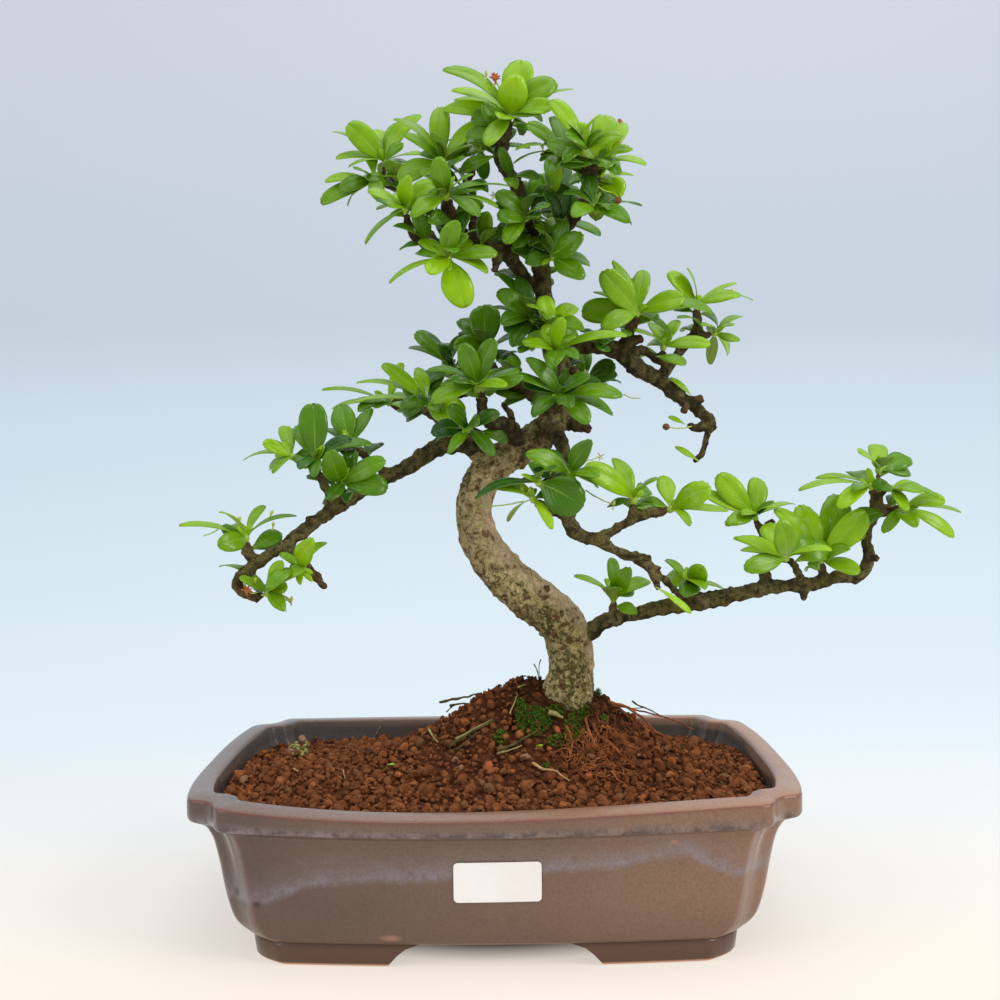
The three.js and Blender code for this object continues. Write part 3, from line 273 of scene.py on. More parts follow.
def search_tree(points):
    tree = KDTree(len(points))
    for i, point in enumerate(points):
        tree.insert(Vector(point), i)
    tree.balance()
    return tree


def bell(value, middle, width):
    return np.exp(-(((value - middle) / width) ** 2))


def applied(piece):
    """The piece's mesh with its modifiers applied, and the modifiers gone."""
    graph = bpy.context.evaluated_depsgraph_get()
    made = bpy.data.meshes.new_from_object(piece.evaluated_get(graph))
    piece.modifiers.clear()
    old = piece.data
    piece.data = made
    bpy.data.meshes.remove(old)
    return made


# Tree tables: rows of x, z and depth behind the pot's middle as the eye sees them, then radius. The rows
# of SHOOTS are leaf tips: x, z, depth, how far the leaf faces the eye, width.

TRUNK = [
    [33, 62, 2, 11.5], [33.5, 78, 2, 13], [33.5, 90, 1, 13], [34.5, 97, 0, 12.2], [36, 104, 0, 11],
    [36.2, 112, 0, 10.4], [35.5, 120, 0, 10.6], [33, 128, 0, 11], [26, 136, 0, 10.6],
    [16.5, 143.5, 0, 10.5], [7, 151.5, 0, 10.3], [-1, 161, 0, 9.8], [-6.3, 171, 0, 9.2],
    [-8.7, 181, 0, 8.4], [-8.2, 190, 0, 8.2], [-4.5, 199, 1, 8.4], [4, 207.5, 2, 8.2], [15, 214, 3, 7.8],
    [25, 221, 3, 7.2], [31, 230, 3, 6.6], [33, 240, 4, 6.2], [32, 250, 4, 5.8], [29, 260, 4, 5.2],
    [27, 270, 4, 4.4], [25.5, 280, 4, 4.2], [24.5, 290, 4, 4.4], [23.5, 298, 4, 4.5], [22.5, 305, 4, 4],
]

BRANCHES = [
    [[0, 209, 2, 5.5], [-8, 214, 1, 5.4], [-19, 216, -1, 4.6], [-30, 211, -4, 4], [-40, 204.8, -7, 3.6],
     [-50, 200, -9, 3.2], [-60, 194.2, -12, 3.2], [-70, 189, -14, 3.7], [-80, 182.3, -16, 3.1],
     [-90, 174.6, -18, 2.9], [-100, 167.6, -20, 2.7], [-110, 161.5, -21, 2.9], [-117, 156, -22, 2.9],
     [-121.5, 151, -22, 2.6], [-119.5, 146.3, -22, 2.4], [-114, 143.6, -22, 2.2], [-110, 144.3, -22, 1.7]],
    [[-17, 217, 0, 3], [-21, 221.5, 4, 2.6], [-25, 227, 8, 2.5], [-31, 231.4, 11, 2.7], [-38, 234, 13, 3],
     [-45, 234.3, 14, 2.6]],
    [[27, 232, 4, 4], [20, 238.5, 2, 3.6], [12, 242.6, 0, 3.4], [4, 244.2, -2, 3.6], [-3, 242.5, -4, 3.4],
     [-11, 240.3, -5, 2.6], [-20, 238, -5, 2.6], [-27, 235.7, -5, 2.2]],
    [[16, 217, -2, 4.5], [8, 223.5, -8, 3.4], [1, 224.8, -12, 3], [-3.5, 228, -14, 2.8],
     [-4.5, 234, -15, 2.8], [-5.5, 239.5, -16, 2.4]],
    [[30, 261, 4, 4.5], [38, 261, 5, 4], [48, 260.6, 6, 3.6], [57, 259, 7, 4], [64, 254.5, 8, 4],
     [71, 249, 8, 4.2], [80, 243.6, 8, 3.8], [90, 235.5, 9, 3.4], [97, 230.5, 10, 2.9],
     [103, 224.6, 10, 2.6], [104.5, 222.3, 10, 2.2]],
    [[80, 245, 8, 2.8], [83, 251, 11, 2.6], [87.5, 256.5, 13, 2.5], [92, 262, 15, 2.4], [96, 266, 16, 2.9],
     [97, 271, 16, 2.4], [96.3, 275, 16, 2.1]],
    [[31, 221, -2, 5], [33, 214, -8, 3.4], [34.5, 207, -13, 2.6], [36, 199, -17, 3.2],
     [37.5, 190, -19, 2.8], [36.5, 182, -20, 3], [36, 177, -21, 3.2], [39.5, 172.5, -21, 3.2],
     [48, 169.6, -22, 2.6], [55, 166, -22, 2.2], [62, 162.8, -22, 2.2], [69.5, 160, -22, 2.6],
     [74, 156, -23, 2.2], [77, 150, -23, 2], [77.6, 146, -23, 1.5]],
    [[48, 170, -22, 2.4], [54, 172.2, -21, 2.2], [60, 175.5, -20, 2.2], [67, 179.3, -19, 2.5],
     [74, 181.8, -18, 2.4], [80, 182.4, -17, 2.2]],
    [[36, 121, -1, 6], [46, 126, -4, 4.4], [53, 131, -6, 3.6], [62, 133.5, -8, 3.2], [70, 135, -9, 3.1],
     [80, 137, -9, 3.4], [90, 138.7, -10, 4.1], [100, 140, -10, 4.3], [110, 141.3, -10, 3.4],
     [120, 144, -9, 3.5], [130, 146, -8, 3.3], [140, 146.8, -7, 2.8], [147, 147, -7, 3.4],
     [155, 148.6, -7, 2.9], [165, 150.5, -7, 2.8], [172, 151, -7, 2.8], [176, 155, -7, 2.7],
     [177.3, 160.5, -7, 2.8], [176, 167, -7, 2.3], [177.3, 174, -7, 2.3], [180, 181, -7, 3.4],
     [181, 188, -7, 3.1], [181.5, 193, -7, 2.2], [181.7, 197, -7, 1.4]],
    [[128, 147, -7, 2.9], [128.3, 160, -5, 2.6], [128, 170, -4, 2.3], [126, 175, -4, 1.9]],
    [[22.5, 301, 4, 4.4], [20.5, 309, 2, 4.2], [17.5, 318, 0, 3.2], [15.5, 327, -2, 2.8],
     [12.5, 336, -3, 3.4], [7.5, 344, -3, 3.6], [5, 350, -3, 3.4], [7, 357, -3, 2.8], [9, 363.5, -3, 2.2]],
    [[24, 302, 4, 4.2], [29.5, 309, 1, 3.7], [34.5, 315.5, -3, 3.3], [40, 321.5, -6, 3],
     [44, 326, -8, 2.8], [47, 331, -9, 2.8], [46.8, 337, -9, 2.8], [46, 343, -9, 3], [42.5, 347, -9, 2.6],
     [38.5, 348.6, -9, 2.1]],
    [[24.5, 286, 4, 3.6], [17, 292, 2, 3.2], [11, 300, 0, 3.2], [4, 306, -2, 3.2], [-6, 307, -4, 3],
     [-14, 305.6, -6, 2.8], [-22, 306.6, -8, 2.6], [-29, 308.4, -9, 2.6], [-34, 312.5, -10, 2.6],
     [-38, 318, -11, 2.1], [-39, 322, -12, 1.7]],
    [[22, 304, 4, 3.6], [12, 307, 1, 3.4], [2, 306.8, -3, 3]],
]

STUBS = [
    [[-97, 168, -19, 2], [-93, 160, -19, 2.2], [-86, 155, -19, 2.4], [-80, 148, -19, 1.8]],
    [[-89, 157, -19, 1.8], [-88, 162.5, -19, 1.4]], [[-87, 177, -17, 2.2], [-87.3, 181.6, -18, 1.6]],
    [[-51, 201, -9, 2.4], [-53, 205.4, -10, 1.4]],
    [[104, 223, 10, 2.2], [97, 222.2, 9, 2.2], [93, 223, 8, 1.7]],
    [[103, 222.5, 10, 2], [100.5, 214, 10, 1.5], [98.5, 209, 10, 1.8], [95, 206, 10, 1.4]],
    [[92, 234, 9, 2.6], [99.3, 236, 9, 2.2]], [[90, 232, 9, 2.4], [90.3, 229.5, 6, 1.8]],
    [[60, 261, 7, 3.4], [71, 264.8, 7, 2]],
    [[75, 156, -22, 2], [80.5, 150.5, -20, 1.7], [86, 144.8, -18, 1.8], [89, 142, -17, 1.6]],
    [[70, 161, -22, 2], [74.5, 161.4, -23, 1.5]], [[74, 157, -22, 1.3], [79.5, 156, -22, 0.9]],
    [[128.5, 172, -4, 2.4], [132, 177.6, -6, 1.9]], [[147, 145, -8, 2], [146.5, 140, -9, 1.6]],
    [[177, 160, -8, 2.2], [181, 159.5, -11, 1.7]],
    [[184, 181.6, -9, 1.9], [190, 186, -6, 1.5], [195.5, 188.6, -5, 1.2]],
    [[16.5, 318, 0, 2], [16, 334, 3, 1.6]], [[6, 304.5, -4, 2.6], [2.8, 299, -8, 2], [1, 296.4, -10, 1.4]],
    [[-6, 307, -5, 2], [-8.5, 320, -10, 1.5]], [[31, 252, 3, 3], [29.6, 255.4, -2.5, 2.4]],
    [[36, 240, 1, 3], [39.4, 250.4, -2, 2.1]],
    [[36, 222, 2, 4.2], [42, 223.5, 0, 3], [45.6, 221.4, -1, 2.1]],
    [[15, 240, 1, 3], [19.5, 236.6, -5, 2]], [[13, 223.5, -5, 2], [9, 229, -4, 1.6], [5, 234.6, -2, 1.3]],
    [[22.6, 145.2, -3, 3.4], [25.4, 147, -5.5, 2.1]],
]

TWIGS = {
    "left_hook": [[-112, 143.6, -22, 1.8], [-109.5, 144.6, -22, 1.6]],
    "left_tip": [[-111, 160, -21, 2.6], [-116.5, 165.5, -21, 2.5], [-116.8, 169, -21, 2]],
    "left_under": [[-97, 168, -19, 2], [-94, 161, -22, 2.2], [-92.5, 158.6, -24, 1.8]],
    "left_outer": [[-75, 187, -15, 2.6], [-77.5, 193, -16, 2.3], [-81, 199.5, -17, 2.2],
        [-86, 206.5, -18, 2.1], [-92, 209, -18, 2]],
    "left_high": [[-82.5, 201.5, -17, 2], [-83, 205.5, -18, 1.8]],
    "left_inner": [[-71, 190, -15, 2.6], [-71.2, 195, -17, 2]],
    "left_behind": [[-50, 201.5, -9, 2], [-56, 206.5, -10, 1.8], [-61, 211.5, -11, 2.1],
        [-64.6, 213.6, -12, 1.7]],
    "middle_far": [[-43, 234.2, 14, 2.4], [-46, 234.6, 14, 2.2]],
    "middle_left": [[-25, 236.3, -5, 2], [-28, 235.5, -5, 1.9]],
    "middle_front": [[-5.2, 238, -16, 2.2], [-6, 240.6, -17, 2]],
    "middle_low": [[-3, 212.5, -2, 2.8], [-6, 219, -9, 2.5], [-10, 221.6, -14, 1.8]],
    "middle_high": [[4, 244.5, 0, 2], [1, 252, 6, 1.8], [-1, 258, 10, 1.6]],
    "middle_back": [[-11, 240.5, -4, 2], [-15, 247, 6, 1.7], [-19, 251.5, 13, 1.5]],
    "trunk_left": [[26, 271, 3, 2.4], [22, 272, 0, 1.7], [20.5, 272.6, -1, 1.5]],
    "trunk_front": [[33, 236, 0, 2.6], [32.6, 237.5, -11, 1.7]],
    "trunk_upper": [[29, 258, 0, 2.4], [30, 258.3, -8, 1.6]],
    "trunk_right": [[27, 271, 2, 2.2], [28, 270, -6, 1.5]],
    "trunk_behind": [[36, 240, 6, 2.4], [42, 242.5, 12, 1.7], [43.6, 244, 14, 1.5]],
    "right_spur": [[62, 261, 7, 3.2], [65.5, 268, 5, 2.8], [67.8, 273.5, 4, 2]],
    "right_high": [[97, 272, 16, 2], [96.6, 276.4, 16, 1.9]],
    "right_end": [[92, 262.4, 15, 2.2], [98, 265, 16, 2], [102.6, 265.6, 16, 1.6]],
    "right_fork": [[64, 258, 8, 3], [70, 258.6, 9, 2.2], [76, 255.6, 10, 2], [80.3, 254, 10, 2.2],
        [80.6, 257.4, 10, 1.8]],
    "lower_top": [[36, 199.5, -17, 2.6], [36.4, 200.8, -24, 1.8]],
    "lower_round": [[35.5, 199, -18, 2], [28, 198, -23, 1.6], [23.5, 196.8, -26, 1.4]],
    "lower_left": [[35.5, 181, -20, 2.4], [30, 183, -22, 2.4], [25, 184.6, -24, 2.6],
        [21.2, 187.4, -25, 1.8]],
    "lower_spur": [[65.5, 178.5, -19, 2.2], [66.3, 185.4, -19, 1.9]],
    "lower_end": [[78, 182.2, -17, 2.2], [81.4, 182.9, -17, 2]],
    "long_first": [[56, 134, -6, 2.2], [56.7, 139.6, -7, 1.6]],
    "long_second": [[90.5, 141, -12, 2.4], [91.8, 145.6, -13, 1.6]],
    "long_upright": [[127, 173, -4, 1.9], [124.8, 177.2, -4, 1.7]],
    "long_curved": [[147, 147, -8, 2.6], [144, 153.5, -11, 1.8], [141.5, 157.6, -13, 1.7],
        [139.6, 159, -14, 1.5]],
    "long_third": [[155.5, 150, -7, 2.6], [155, 156.4, -8, 1.9]],
    "long_outward": [[180, 181, -7, 2.8], [186, 181.3, -9, 2.6], [190.6, 182.6, -10, 2]],
    "long_left": [[180.5, 188, -8, 2], [178.9, 192, -10, 1.5]],
    "long_right": [[181, 189, -8, 2.2], [185.4, 191.4, -10, 1.6]],
    "long_top": [[181.6, 196, -7, 1.5], [181.8, 198.6, -7, 1.3]],
    "crown_top": [[8.8, 362.5, -3, 2.2], [9.4, 365.4, -3, 2]],
    "crown_inner": [[-2, 307, -3, 2.4], [-8, 322, 5, 2], [-12, 335, 9, 1.8], [-8, 343, 8, 1.8],
        [-5, 349.6, 7, 1.7]],
    "crown_middle": [[-18, 322, -9, 2], [-21.5, 335, -3, 1.6], [-22, 345, 1, 1.5]],
    "crown_far": [[-24, 307, -7, 2.4], [-30, 316, 6, 2.2], [-37, 328, 14, 2], [-43, 336, 17, 2.4],
        [-47.5, 338.5, 18, 2.5], [-48.3, 345, 18, 1.9]],
    "crown_outer": [[-46, 338, 18, 2.2], [-51.5, 338.4, 16, 1.8]],
    "crown_front": [[-9, 307, -5, 2.6], [-13.5, 315, -8, 2.4], [-18, 322, -11, 2.8], [-19.6, 328.6, -13, 2]],
    "crown_left": [[-38.6, 320, -11.6, 1.8], [-38.9, 322.6, -12, 1.6]],
    "crown_hanging": [[-19, 305.5, -8, 2], [-19.5, 303, -15, 1.5]],
    "crown_centre": [[17, 319, 0, 2.4], [16.6, 320.4, -7, 1.6]],
    "crown_back": [[26, 306, 5, 2.6], [27.5, 313, 10, 2], [28, 318, 13, 1.7]],
    "crown_low": [[27, 304, 2, 2.6], [29, 302.4, -5, 1.7]],
    "crown_right": [[40, 348, -9, 2.2], [38, 349, -9, 1.9]],
    "crown_high": [[44.5, 344, -9, 2.4], [44.5, 349.6, -13, 1.7]],
    "crown_edge": [[46.5, 341, -9, 2.4], [50.6, 344.4, -11, 1.9]],
    "crown_side": [[45, 327, -8, 2.4], [48.4, 326, -13, 1.7]],
    "crown_bright": [[47.5, 336, -8, 2.2], [51, 338.4, -2, 1.6]],
}

SHOOTS = {
    "left_hook": [[-100, 160.5, -4, 0.6, 8], [-90, 157, -8, 0.5, 8.5], [-98, 149, -2, 0.6, 7],
        [-130, 160, 4, 0.2, 5], [-96, 141, 4, 0.3, 5]],
    "left_tip": [[-149, 179, 0, 0.2, 6.5], [-128.5, 185.5, -4, 0.3, 6.5], [-92.5, 182.5, 3, 0.2, 5.5],
        [-130, 169, -6, 0.9, 9], [-126, 177, 5, 0.4, 6], [-108, 188, 6, 0.3, 5]],
    "left_under": [[-86, 171, -2, 0.8, 9.5], [-79, 170.5, 4, 0.3, 5.5], [-101, 165, 6, 0.4, 5]],
    "left_outer": [[-107.5, 217, -3, 0.6, 9], [-117.5, 209, 2, 0.3, 6.5], [-99, 226, 5, 0.5, 7],
        [-104, 203, -4, 0.4, 5]],
    "left_high": [[-84, 236, 1, 0.9, 13], [-92, 226, 4, 0.8, 9], [-57, 217, -4, 0.4, 8],
        [-91, 205, -5, 0.5, 6.5], [-84, 201, -9, 0.6, 6]],
    "left_inner": [[-76, 213, -2, 0.8, 11], [-64, 213, 3, 0.6, 8], [-50.5, 208.5, -3, 0.75, 9],
        [-49.5, 195.5, -7, 0.75, 11], [-77.5, 189.5, -5, 0.8, 7]],
    "left_behind": [[-71, 235.5, 0, 0.9, 12], [-56.5, 233.5, 3, 0.6, 6.5], [-79, 224, 5, 0.3, 6]],
    "middle_far": [[-76, 233, -2, 0.25, 6.5], [-80, 243.5, 4, 0.2, 6], [-66, 237, 6, 0.3, 6],
        [-42, 254, -4, 0.5, 7]],
    "middle_left": [[-66.5, 236, -3, 0.25, 8], [-51, 254.5, 2, 0.4, 9], [-64, 245.5, 5, 0.25, 6.5],
        [-13, 227, -9, 0.9, 14], [-36, 247, -4, 0.6, 8]],
    "middle_front": [[-28.5, 236, -6, 0.5, 10], [-13, 262.5, -2, 0.75, 9.5], [1, 265, -5, 0.6, 9],
        [13, 250, -6, 0.3, 8.5], [6.5, 243, -11, 0.6, 7.5], [-30, 252, 4, 0.25, 7]],
    "middle_low": [[-20.5, 211.5, -3, 0.8, 5.5], [0.5, 209.5, -6, 0.6, 6.5], [-19.5, 233, -3, 0.7, 8],
        [3, 230, -6, 0.7, 7]],
    "middle_high": [[-3, 281.5, 0, 0.9, 16], [-17, 262.5, -8, 0.7, 10], [-15, 275, 6, 0.6, 10],
        [20, 269.5, -6, 0.4, 8], [14, 252, -8, 0.7, 9]],
    "middle_back": [[-35.5, 269, 4, 0.6, 10], [-39, 261.5, 0, 0.3, 7.5], [-30, 268, -6, 0.4, 8],
        [-14, 268, -7, 0.3, 8], [-34, 247, 6, 0.3, 8]],
    "trunk_left": [[4, 296.5, 2, 0.3, 7], [3.5, 287, -3, 0.7, 9.5], [1, 280.5, -6, 0.3, 8],
        [13, 294, 5, 0.6, 8], [5, 272, -2, 0.6, 9], [10, 262, -7, 0.5, 9]],
    "trunk_front": [[1, 250, -5, 0.4, 9], [62, 238.5, -6, 0.5, 9], [46, 247, -8, 0.6, 8.5],
        [45.5, 224.5, -6, 0.7, 9], [58, 229.5, 3, 0.5, 8], [17, 256, -3, 0.6, 8.5], [19, 228.5, -4, 0.5, 8]],
    "trunk_upper": [[64, 267, -4, 0.4, 9], [15, 262.5, -5, 0.6, 8], [34, 274, -8, 0.6, 8]],
    "trunk_right": [[40, 274, -2, 0.25, 7], [17, 281, -5, 0.3, 7], [40, 281, 5, 0.6, 9]],
    "trunk_behind": [[43, 259.5, 0, 0.8, 10], [58, 252.5, -2, 0.9, 11], [54, 243, 0, 0.6, 7]],
    "right_spur": [[57.5, 301, -2, 0.5, 8], [53, 296, -5, 0.9, 13], [72, 297, 3, 0.6, 9],
        [48.5, 287, 4, 0.4, 7], [42, 277, 6, 0.9, 13], [52, 269, -4, 0.8, 9], [91, 284, -6, 0.7, 11],
        [105, 276.5, 0, 0.4, 9], [85.5, 266.5, 4, 0.5, 8]],
    "right_high": [[83.5, 295, -2, 0.6, 10], [93, 297, -6, 0.4, 7], [115.5, 290, 4, 0.25, 6],
        [117, 285, -2, 0.6, 9], [123.5, 281.5, 4, 0.25, 6]],
    "right_end": [[112, 256.5, 0, 0.7, 8], [113.5, 270.5, -4, 0.5, 6.5], [118, 274, 4, 0.25, 6],
        [103, 252, 5, 0.4, 6]],
    "right_fork": [[103.5, 261.5, -6, 0.6, 8.5], [67.5, 268, -3, 0.5, 7], [74, 272, 4, 0.4, 6.5],
        [88, 273, -3, 0.4, 7]],
    "lower_top": [[16.5, 211, -2, 0.7, 10], [46.5, 216.5, -4, 0.7, 9], [50, 200, -7, 0.5, 8],
        [50, 195.5, 5, 0.6, 8]],
    "lower_round": [[42.5, 185.5, -5, 0.95, 17], [-9, 191, -3, 0.3, 8], [19, 207, 4, 0.6, 6],
        [29, 204, -6, 0.6, 8]],
    "lower_left": [[6.5, 179, 0, 0.3, 4.5], [28, 175, -4, 0.5, 5]],
    "lower_spur": [[43.5, 204.5, -2, 0.7, 11], [57, 208.5, 4, 0.5, 8], [77, 198.5, -4, 0.5, 8]],
    "lower_end": [[80.5, 200.5, 3, 0.6, 9], [102.5, 194.5, -4, 0.7, 12], [111.5, 183, 2, 0.25, 8],
        [93, 176, -4, 0.3, 5]],
    "long_first": [[38.5, 153.5, -2, 0.3, 7], [64, 156, -4, 0.75, 9], [74, 150.5, 2, 0.5, 8],
        [56, 162, 5, 0.4, 6]],
    "long_second": [[81, 152.5, 0, 0.9, 10], [99, 156, -3, 0.8, 10], [110, 145, 3, 0.3, 6],
        [81.5, 160.5, 5, 0.3, 5]],
    "long_upright": [[106.5, 200.5, 0, 0.75, 12], [125, 199, 4, 0.8, 10], [97, 192.5, -5, 0.5, 9],
        [110, 176.5, -6, 0.6, 8], [142.5, 186, 4, 0.25, 6.5], [134.5, 184.5, -5, 0.4, 6]],
    "long_curved": [[114.5, 171, -4, 0.5, 9], [118.5, 155, -6, 0.75, 9], [128, 176.5, 2, 0.8, 10],
        [136, 177.5, -5, 0.8, 12], [116.5, 164.5, 6, 0.4, 6], [160, 165, -9, 0.25, 7]],
    "long_third": [[133.5, 184, -4, 0.5, 9.5], [145, 186, 5, 0.7, 13], [164, 191, 7, 0.85, 15],
        [177, 182, 8, 0.8, 13], [176, 172.5, -3, 0.6, 9], [173.5, 153.5, -6, 0.5, 9]],
    "long_outward": [[213.5, 187, -2, 0.5, 8.5], [219, 169.5, 0, 0.6, 7.5], [221.5, 181, 4, 0.2, 6],
        [184, 171.5, 6, 0.7, 6]],
    "long_left": [[144, 193.5, -3, 0.25, 7], [152, 198.5, 4, 0.2, 6], [163, 184, -4, 0.5, 8]],
    "long_right": [[202.5, 193.5, 2, 0.3, 7], [210.5, 189.5, -3, 0.3, 7], [195.5, 181.5, -6, 0.6, 6]],
    "long_top": [[172.5, 210, -3, 0.5, 9], [194.5, 204, 0, 0.7, 10], [180, 214, 4, 0.6, 9],
        [187, 208, -8, 0.6, 8]],
    "crown_top": [[15.5, 394.5, 5, 0.95, 14.5], [13, 387, -7, 0.95, 14], [31.5, 385, -3, 0.8, 12],
        [39.5, 381.5, 8, 0.25, 9], [30, 373.5, -8, 0.8, 9], [-21, 391.5, -5, 0.5, 9.5],
        [-17, 382.5, 6, 0.4, 10], [-16, 377.5, -9, 0.3, 7], [-22, 373, 10, 0.8, 11],
        [25, 366.5, 4, 0.3, 7], [-1, 355, -10, 0.7, 9]],
    "crown_inner": [[19.5, 353.5, -9, 0.35, 8.5], [11, 360.5, -1, 0.25, 8], [-2, 339, -7, 0.7, 7],
        [-14, 357, 5, 0.5, 8], [-22, 342, 6, 0.6, 9]],
    "crown_middle": [[-0.5, 368, -4, 0.6, 10], [-44.5, 368, 0, 0.35, 8], [-39, 361.5, -6, 0.5, 9.5],
        [-8.5, 355.5, -6, 0.4, 8.5], [-22, 374, 4, 0.8, 10], [-44, 340, 3, 0.7, 12], [-30, 336, 2, 0.7, 9]],
    "crown_far": [[-73, 362.5, 3, 0.25, 8], [-66, 366, -4, 0.8, 13], [-32, 370, 0, 0.6, 10],
        [-41, 367, 8, 0.5, 9], [-72, 350.5, 4, 0.4, 9.5], [-32, 351.7, -8, 0.3, 8],
        [-66, 346.5, -7, 0.25, 7]],
    "crown_outer": [[-77.5, 339.5, 0, 0.4, 9.5], [-80, 329.5, -4, 0.6, 10.5], [-67.5, 328, 5, 0.5, 7],
        [-63, 345, -8, 0.5, 7], [-52, 330, -6, 0.6, 8]],
    "crown_front": [[-24, 349.5, -5, 0.7, 9], [-8.5, 342, -6, 0.5, 9], [10.5, 336.5, -3, 0.2, 8],
        [4.5, 327, -7, 0.3, 7], [-37, 322.5, -7, 0.6, 9.5], [-5, 322.5, -8, 0.5, 8]],
    "crown_left": [[-38, 340.5, -6, 0.7, 9], [-57, 334.5, -3, 0.5, 10], [-24, 337.5, -8, 0.8, 11],
        [-53, 326, 5, 0.2, 6], [-59.5, 310, 0, 0.3, 7.5]],
    "crown_hanging": [[-48.5, 292, -3, 0.3, 8], [-11.5, 280, -4, 0.95, 14], [-5.5, 298, 2, 0.3, 7],
        [3.5, 305, -7, 0.6, 9], [-15, 320, -7, 0.7, 9], [-33, 312, 3, 0.5, 8], [-29, 296, -8, 0.6, 9],
        [-1, 296, -3, 0.5, 7]],
    "crown_centre": [[4, 321.5, -8, 0.7, 9], [7.5, 309.5, -8, 0.75, 8.5], [3, 333, -4, 0.8, 9],
        [27, 327, -7, 0.6, 8]],
    "crown_back": [[23, 342, 0, 0.9, 15], [42.5, 334, -3, 0.8, 13], [12.5, 338, 3, 0.6, 10],
        [37, 345.5, 5, 0.7, 10], [52.5, 313, -6, 0.35, 9]],
    "crown_low": [[43.5, 293, -3, 0.8, 11], [47, 299.5, 3, 0.6, 9], [43, 313, -3, 0.8, 12],
        [35, 321, -8, 0.6, 8]],
    "crown_right": [[18, 365.5, -3, 0.6, 9], [12, 353.5, -7, 0.25, 8], [30, 369, 5, 0.3, 8],
        [11, 347.5, 3, 0.2, 8], [27, 342, -7, 0.5, 7]],
    "crown_high": [[29.5, 376.5, 0, 0.5, 9], [51, 369, -2, 0.4, 8], [37, 365, -8, 0.5, 8],
        [62, 359, -4, 0.6, 8]],
    "crown_edge": [[63, 366, 3, 0.6, 9], [54.5, 369, 5, 0.8, 12], [49, 361, -8, 0.8, 11],
        [73.5, 345.5, -3, 0.4, 8.5], [66, 353, -8, 0.6, 8]],
    "crown_side": [[65, 319.5, -3, 0.7, 9], [71.5, 327.5, 0, 0.25, 7], [39, 322, -9, 0.6, 9]],
    "crown_bright": [[61, 330, -2, 0.9, 13], [67, 341, 4, 0.3, 7]],
}

# Materials


def srgb(r, g, b):
    """A colour from 0-255 values as the eye sees them, as the linear colour that shaders take."""
    linear = [((c / 255 + 0.055) / 1.055) ** 2.4 if c > 10 else c / 255 / 12.92 for c in (r, g, b)]
    return (*linear, 1.0)


class Paint:
    """A short way to write a material's nodes."""

    def __init__(self, name, slot, **sockets):
        self.material = bpy.data.materials.new(name)
        self.material.use_nodes = True
        self.tree = self.material.node_tree
        self.shader = self.tree.nodes["Principled BSDF"]
        self.slot = slot
        self.set(**sockets)

    def set(self, **sockets):
        for name, value in sockets.items():
            self.put(self.shader.inputs[name.replace("_", " ")], value)

    def put(self, socket, value):
        if isinstance(value, bpy.types.NodeSocket):
            self.tree.links.new(value, socket)
        else:
            socket.default_value = value

    def node(self, kind, inputs=None, **settings):
        made = self.tree.nodes.new(kind)
        for name, value in settings.items():
            setattr(made, name, value)
        for name, value in (inputs or {}).items():
            self.put(made.inputs[name], value)
        return made

    def where(self):
        return self.node("ShaderNodeTexCoord").outputs["Object"]

    def attribute(self, name):
        """The piece's own colour values, as four numbers."""
        made = self.node("ShaderNodeAttribute", attribute_name=name)
        parts = self.node("ShaderNodeSeparateColor", {"Color": made.outputs["Color"]})
        return [parts.outputs["Red"], parts.outputs["Green"], parts.outputs["Blue"], made.outputs["Alpha"]]

    def axes(self, vector):
        return self.node("ShaderNodeSeparateXYZ", {"Vector": vector}).outputs

    def stretch(self, vector, scale, shift=(0, 0, 0)):
        inputs = {"Vector": vector, "Scale": scale, "Location": shift}
        return self.node("ShaderNodeMapping", inputs).outputs["Vector"]

    def share(self, value, low, high, most=1.0):
        """0 at low and most at high, and even between them."""
        inputs = {"Value": value, "From Min": low, "From Max": high, "To Max": most}
        return self.node("ShaderNodeMapRange", inputs).outputs["Result"]

    def noise(self, scale, detail=3.0, rough=0.55, vector=None, twist=0.0):
        inputs = {"Scale": scale, "Detail": detail, "Roughness": rough, "Distortion": twist}
        inputs["Vector"] = self.where() if vector is None else vector
        return self.node("ShaderNodeTexNoise", inputs).outputs["Fac"]

    def cells(self, scale, feature="F1", vector=None, output="Distance"):
        inputs = {"Scale": scale, "Vector": self.where() if vector is None else vector}
        return self.node("ShaderNodeTexVoronoi", inputs, feature=feature).outputs[output]

    def ramp(self, value, stops):
        """stops is [(place, value or colour)]: values give grey."""
        made = self.node("ShaderNodeValToRGB", {"Fac": value})
        band = made.color_ramp
        while len(band.elements) < len(stops):
            band.elements.new(0.5)
        for element, (at, colour) in zip(band.elements, stops):
            element.position = at
            element.color = colour if isinstance(colour, tuple) else (colour, colour, colour, 1)
        return made.outputs["Color"]

    def mix(self, share, a, b, blend="MIX"):
        made = self.node("ShaderNodeMix", data_type="RGBA", blend_type=blend)
        for index, value in ((0, share), (6, a), (7, b)):
            self.put(made.inputs[index], value)
        return made.outputs[2]

    def sum(self, operation, *values, clamp=False):
        made = self.node("ShaderNodeMath", dict(enumerate(values)), operation=operation, use_clamp=clamp)
        return made.outputs[0]

    def times(self, a, b):
        return self.sum("MULTIPLY", a, b)

    def far_from(self, where, at, size):
        """Distance from a place, in steps of the given size along each axis."""
        off = self.node("ShaderNodeVectorMath", {0: where, 1: at}, operation="SUBTRACT").outputs[0]
        return self.length(self.stretch(off, size))

    def length(self, vector):
        return self.node("ShaderNodeVectorMath", {0: vector}, operation="LENGTH").outputs["Value"]

    def bump(self, height, strength, distance, under=None):
        inputs = {"Height": height, "Strength": strength, "Distance": distance}
        if under is not None:
            inputs["Normal"] = under
        return self.node("ShaderNodeBump", inputs).outputs["Normal"]


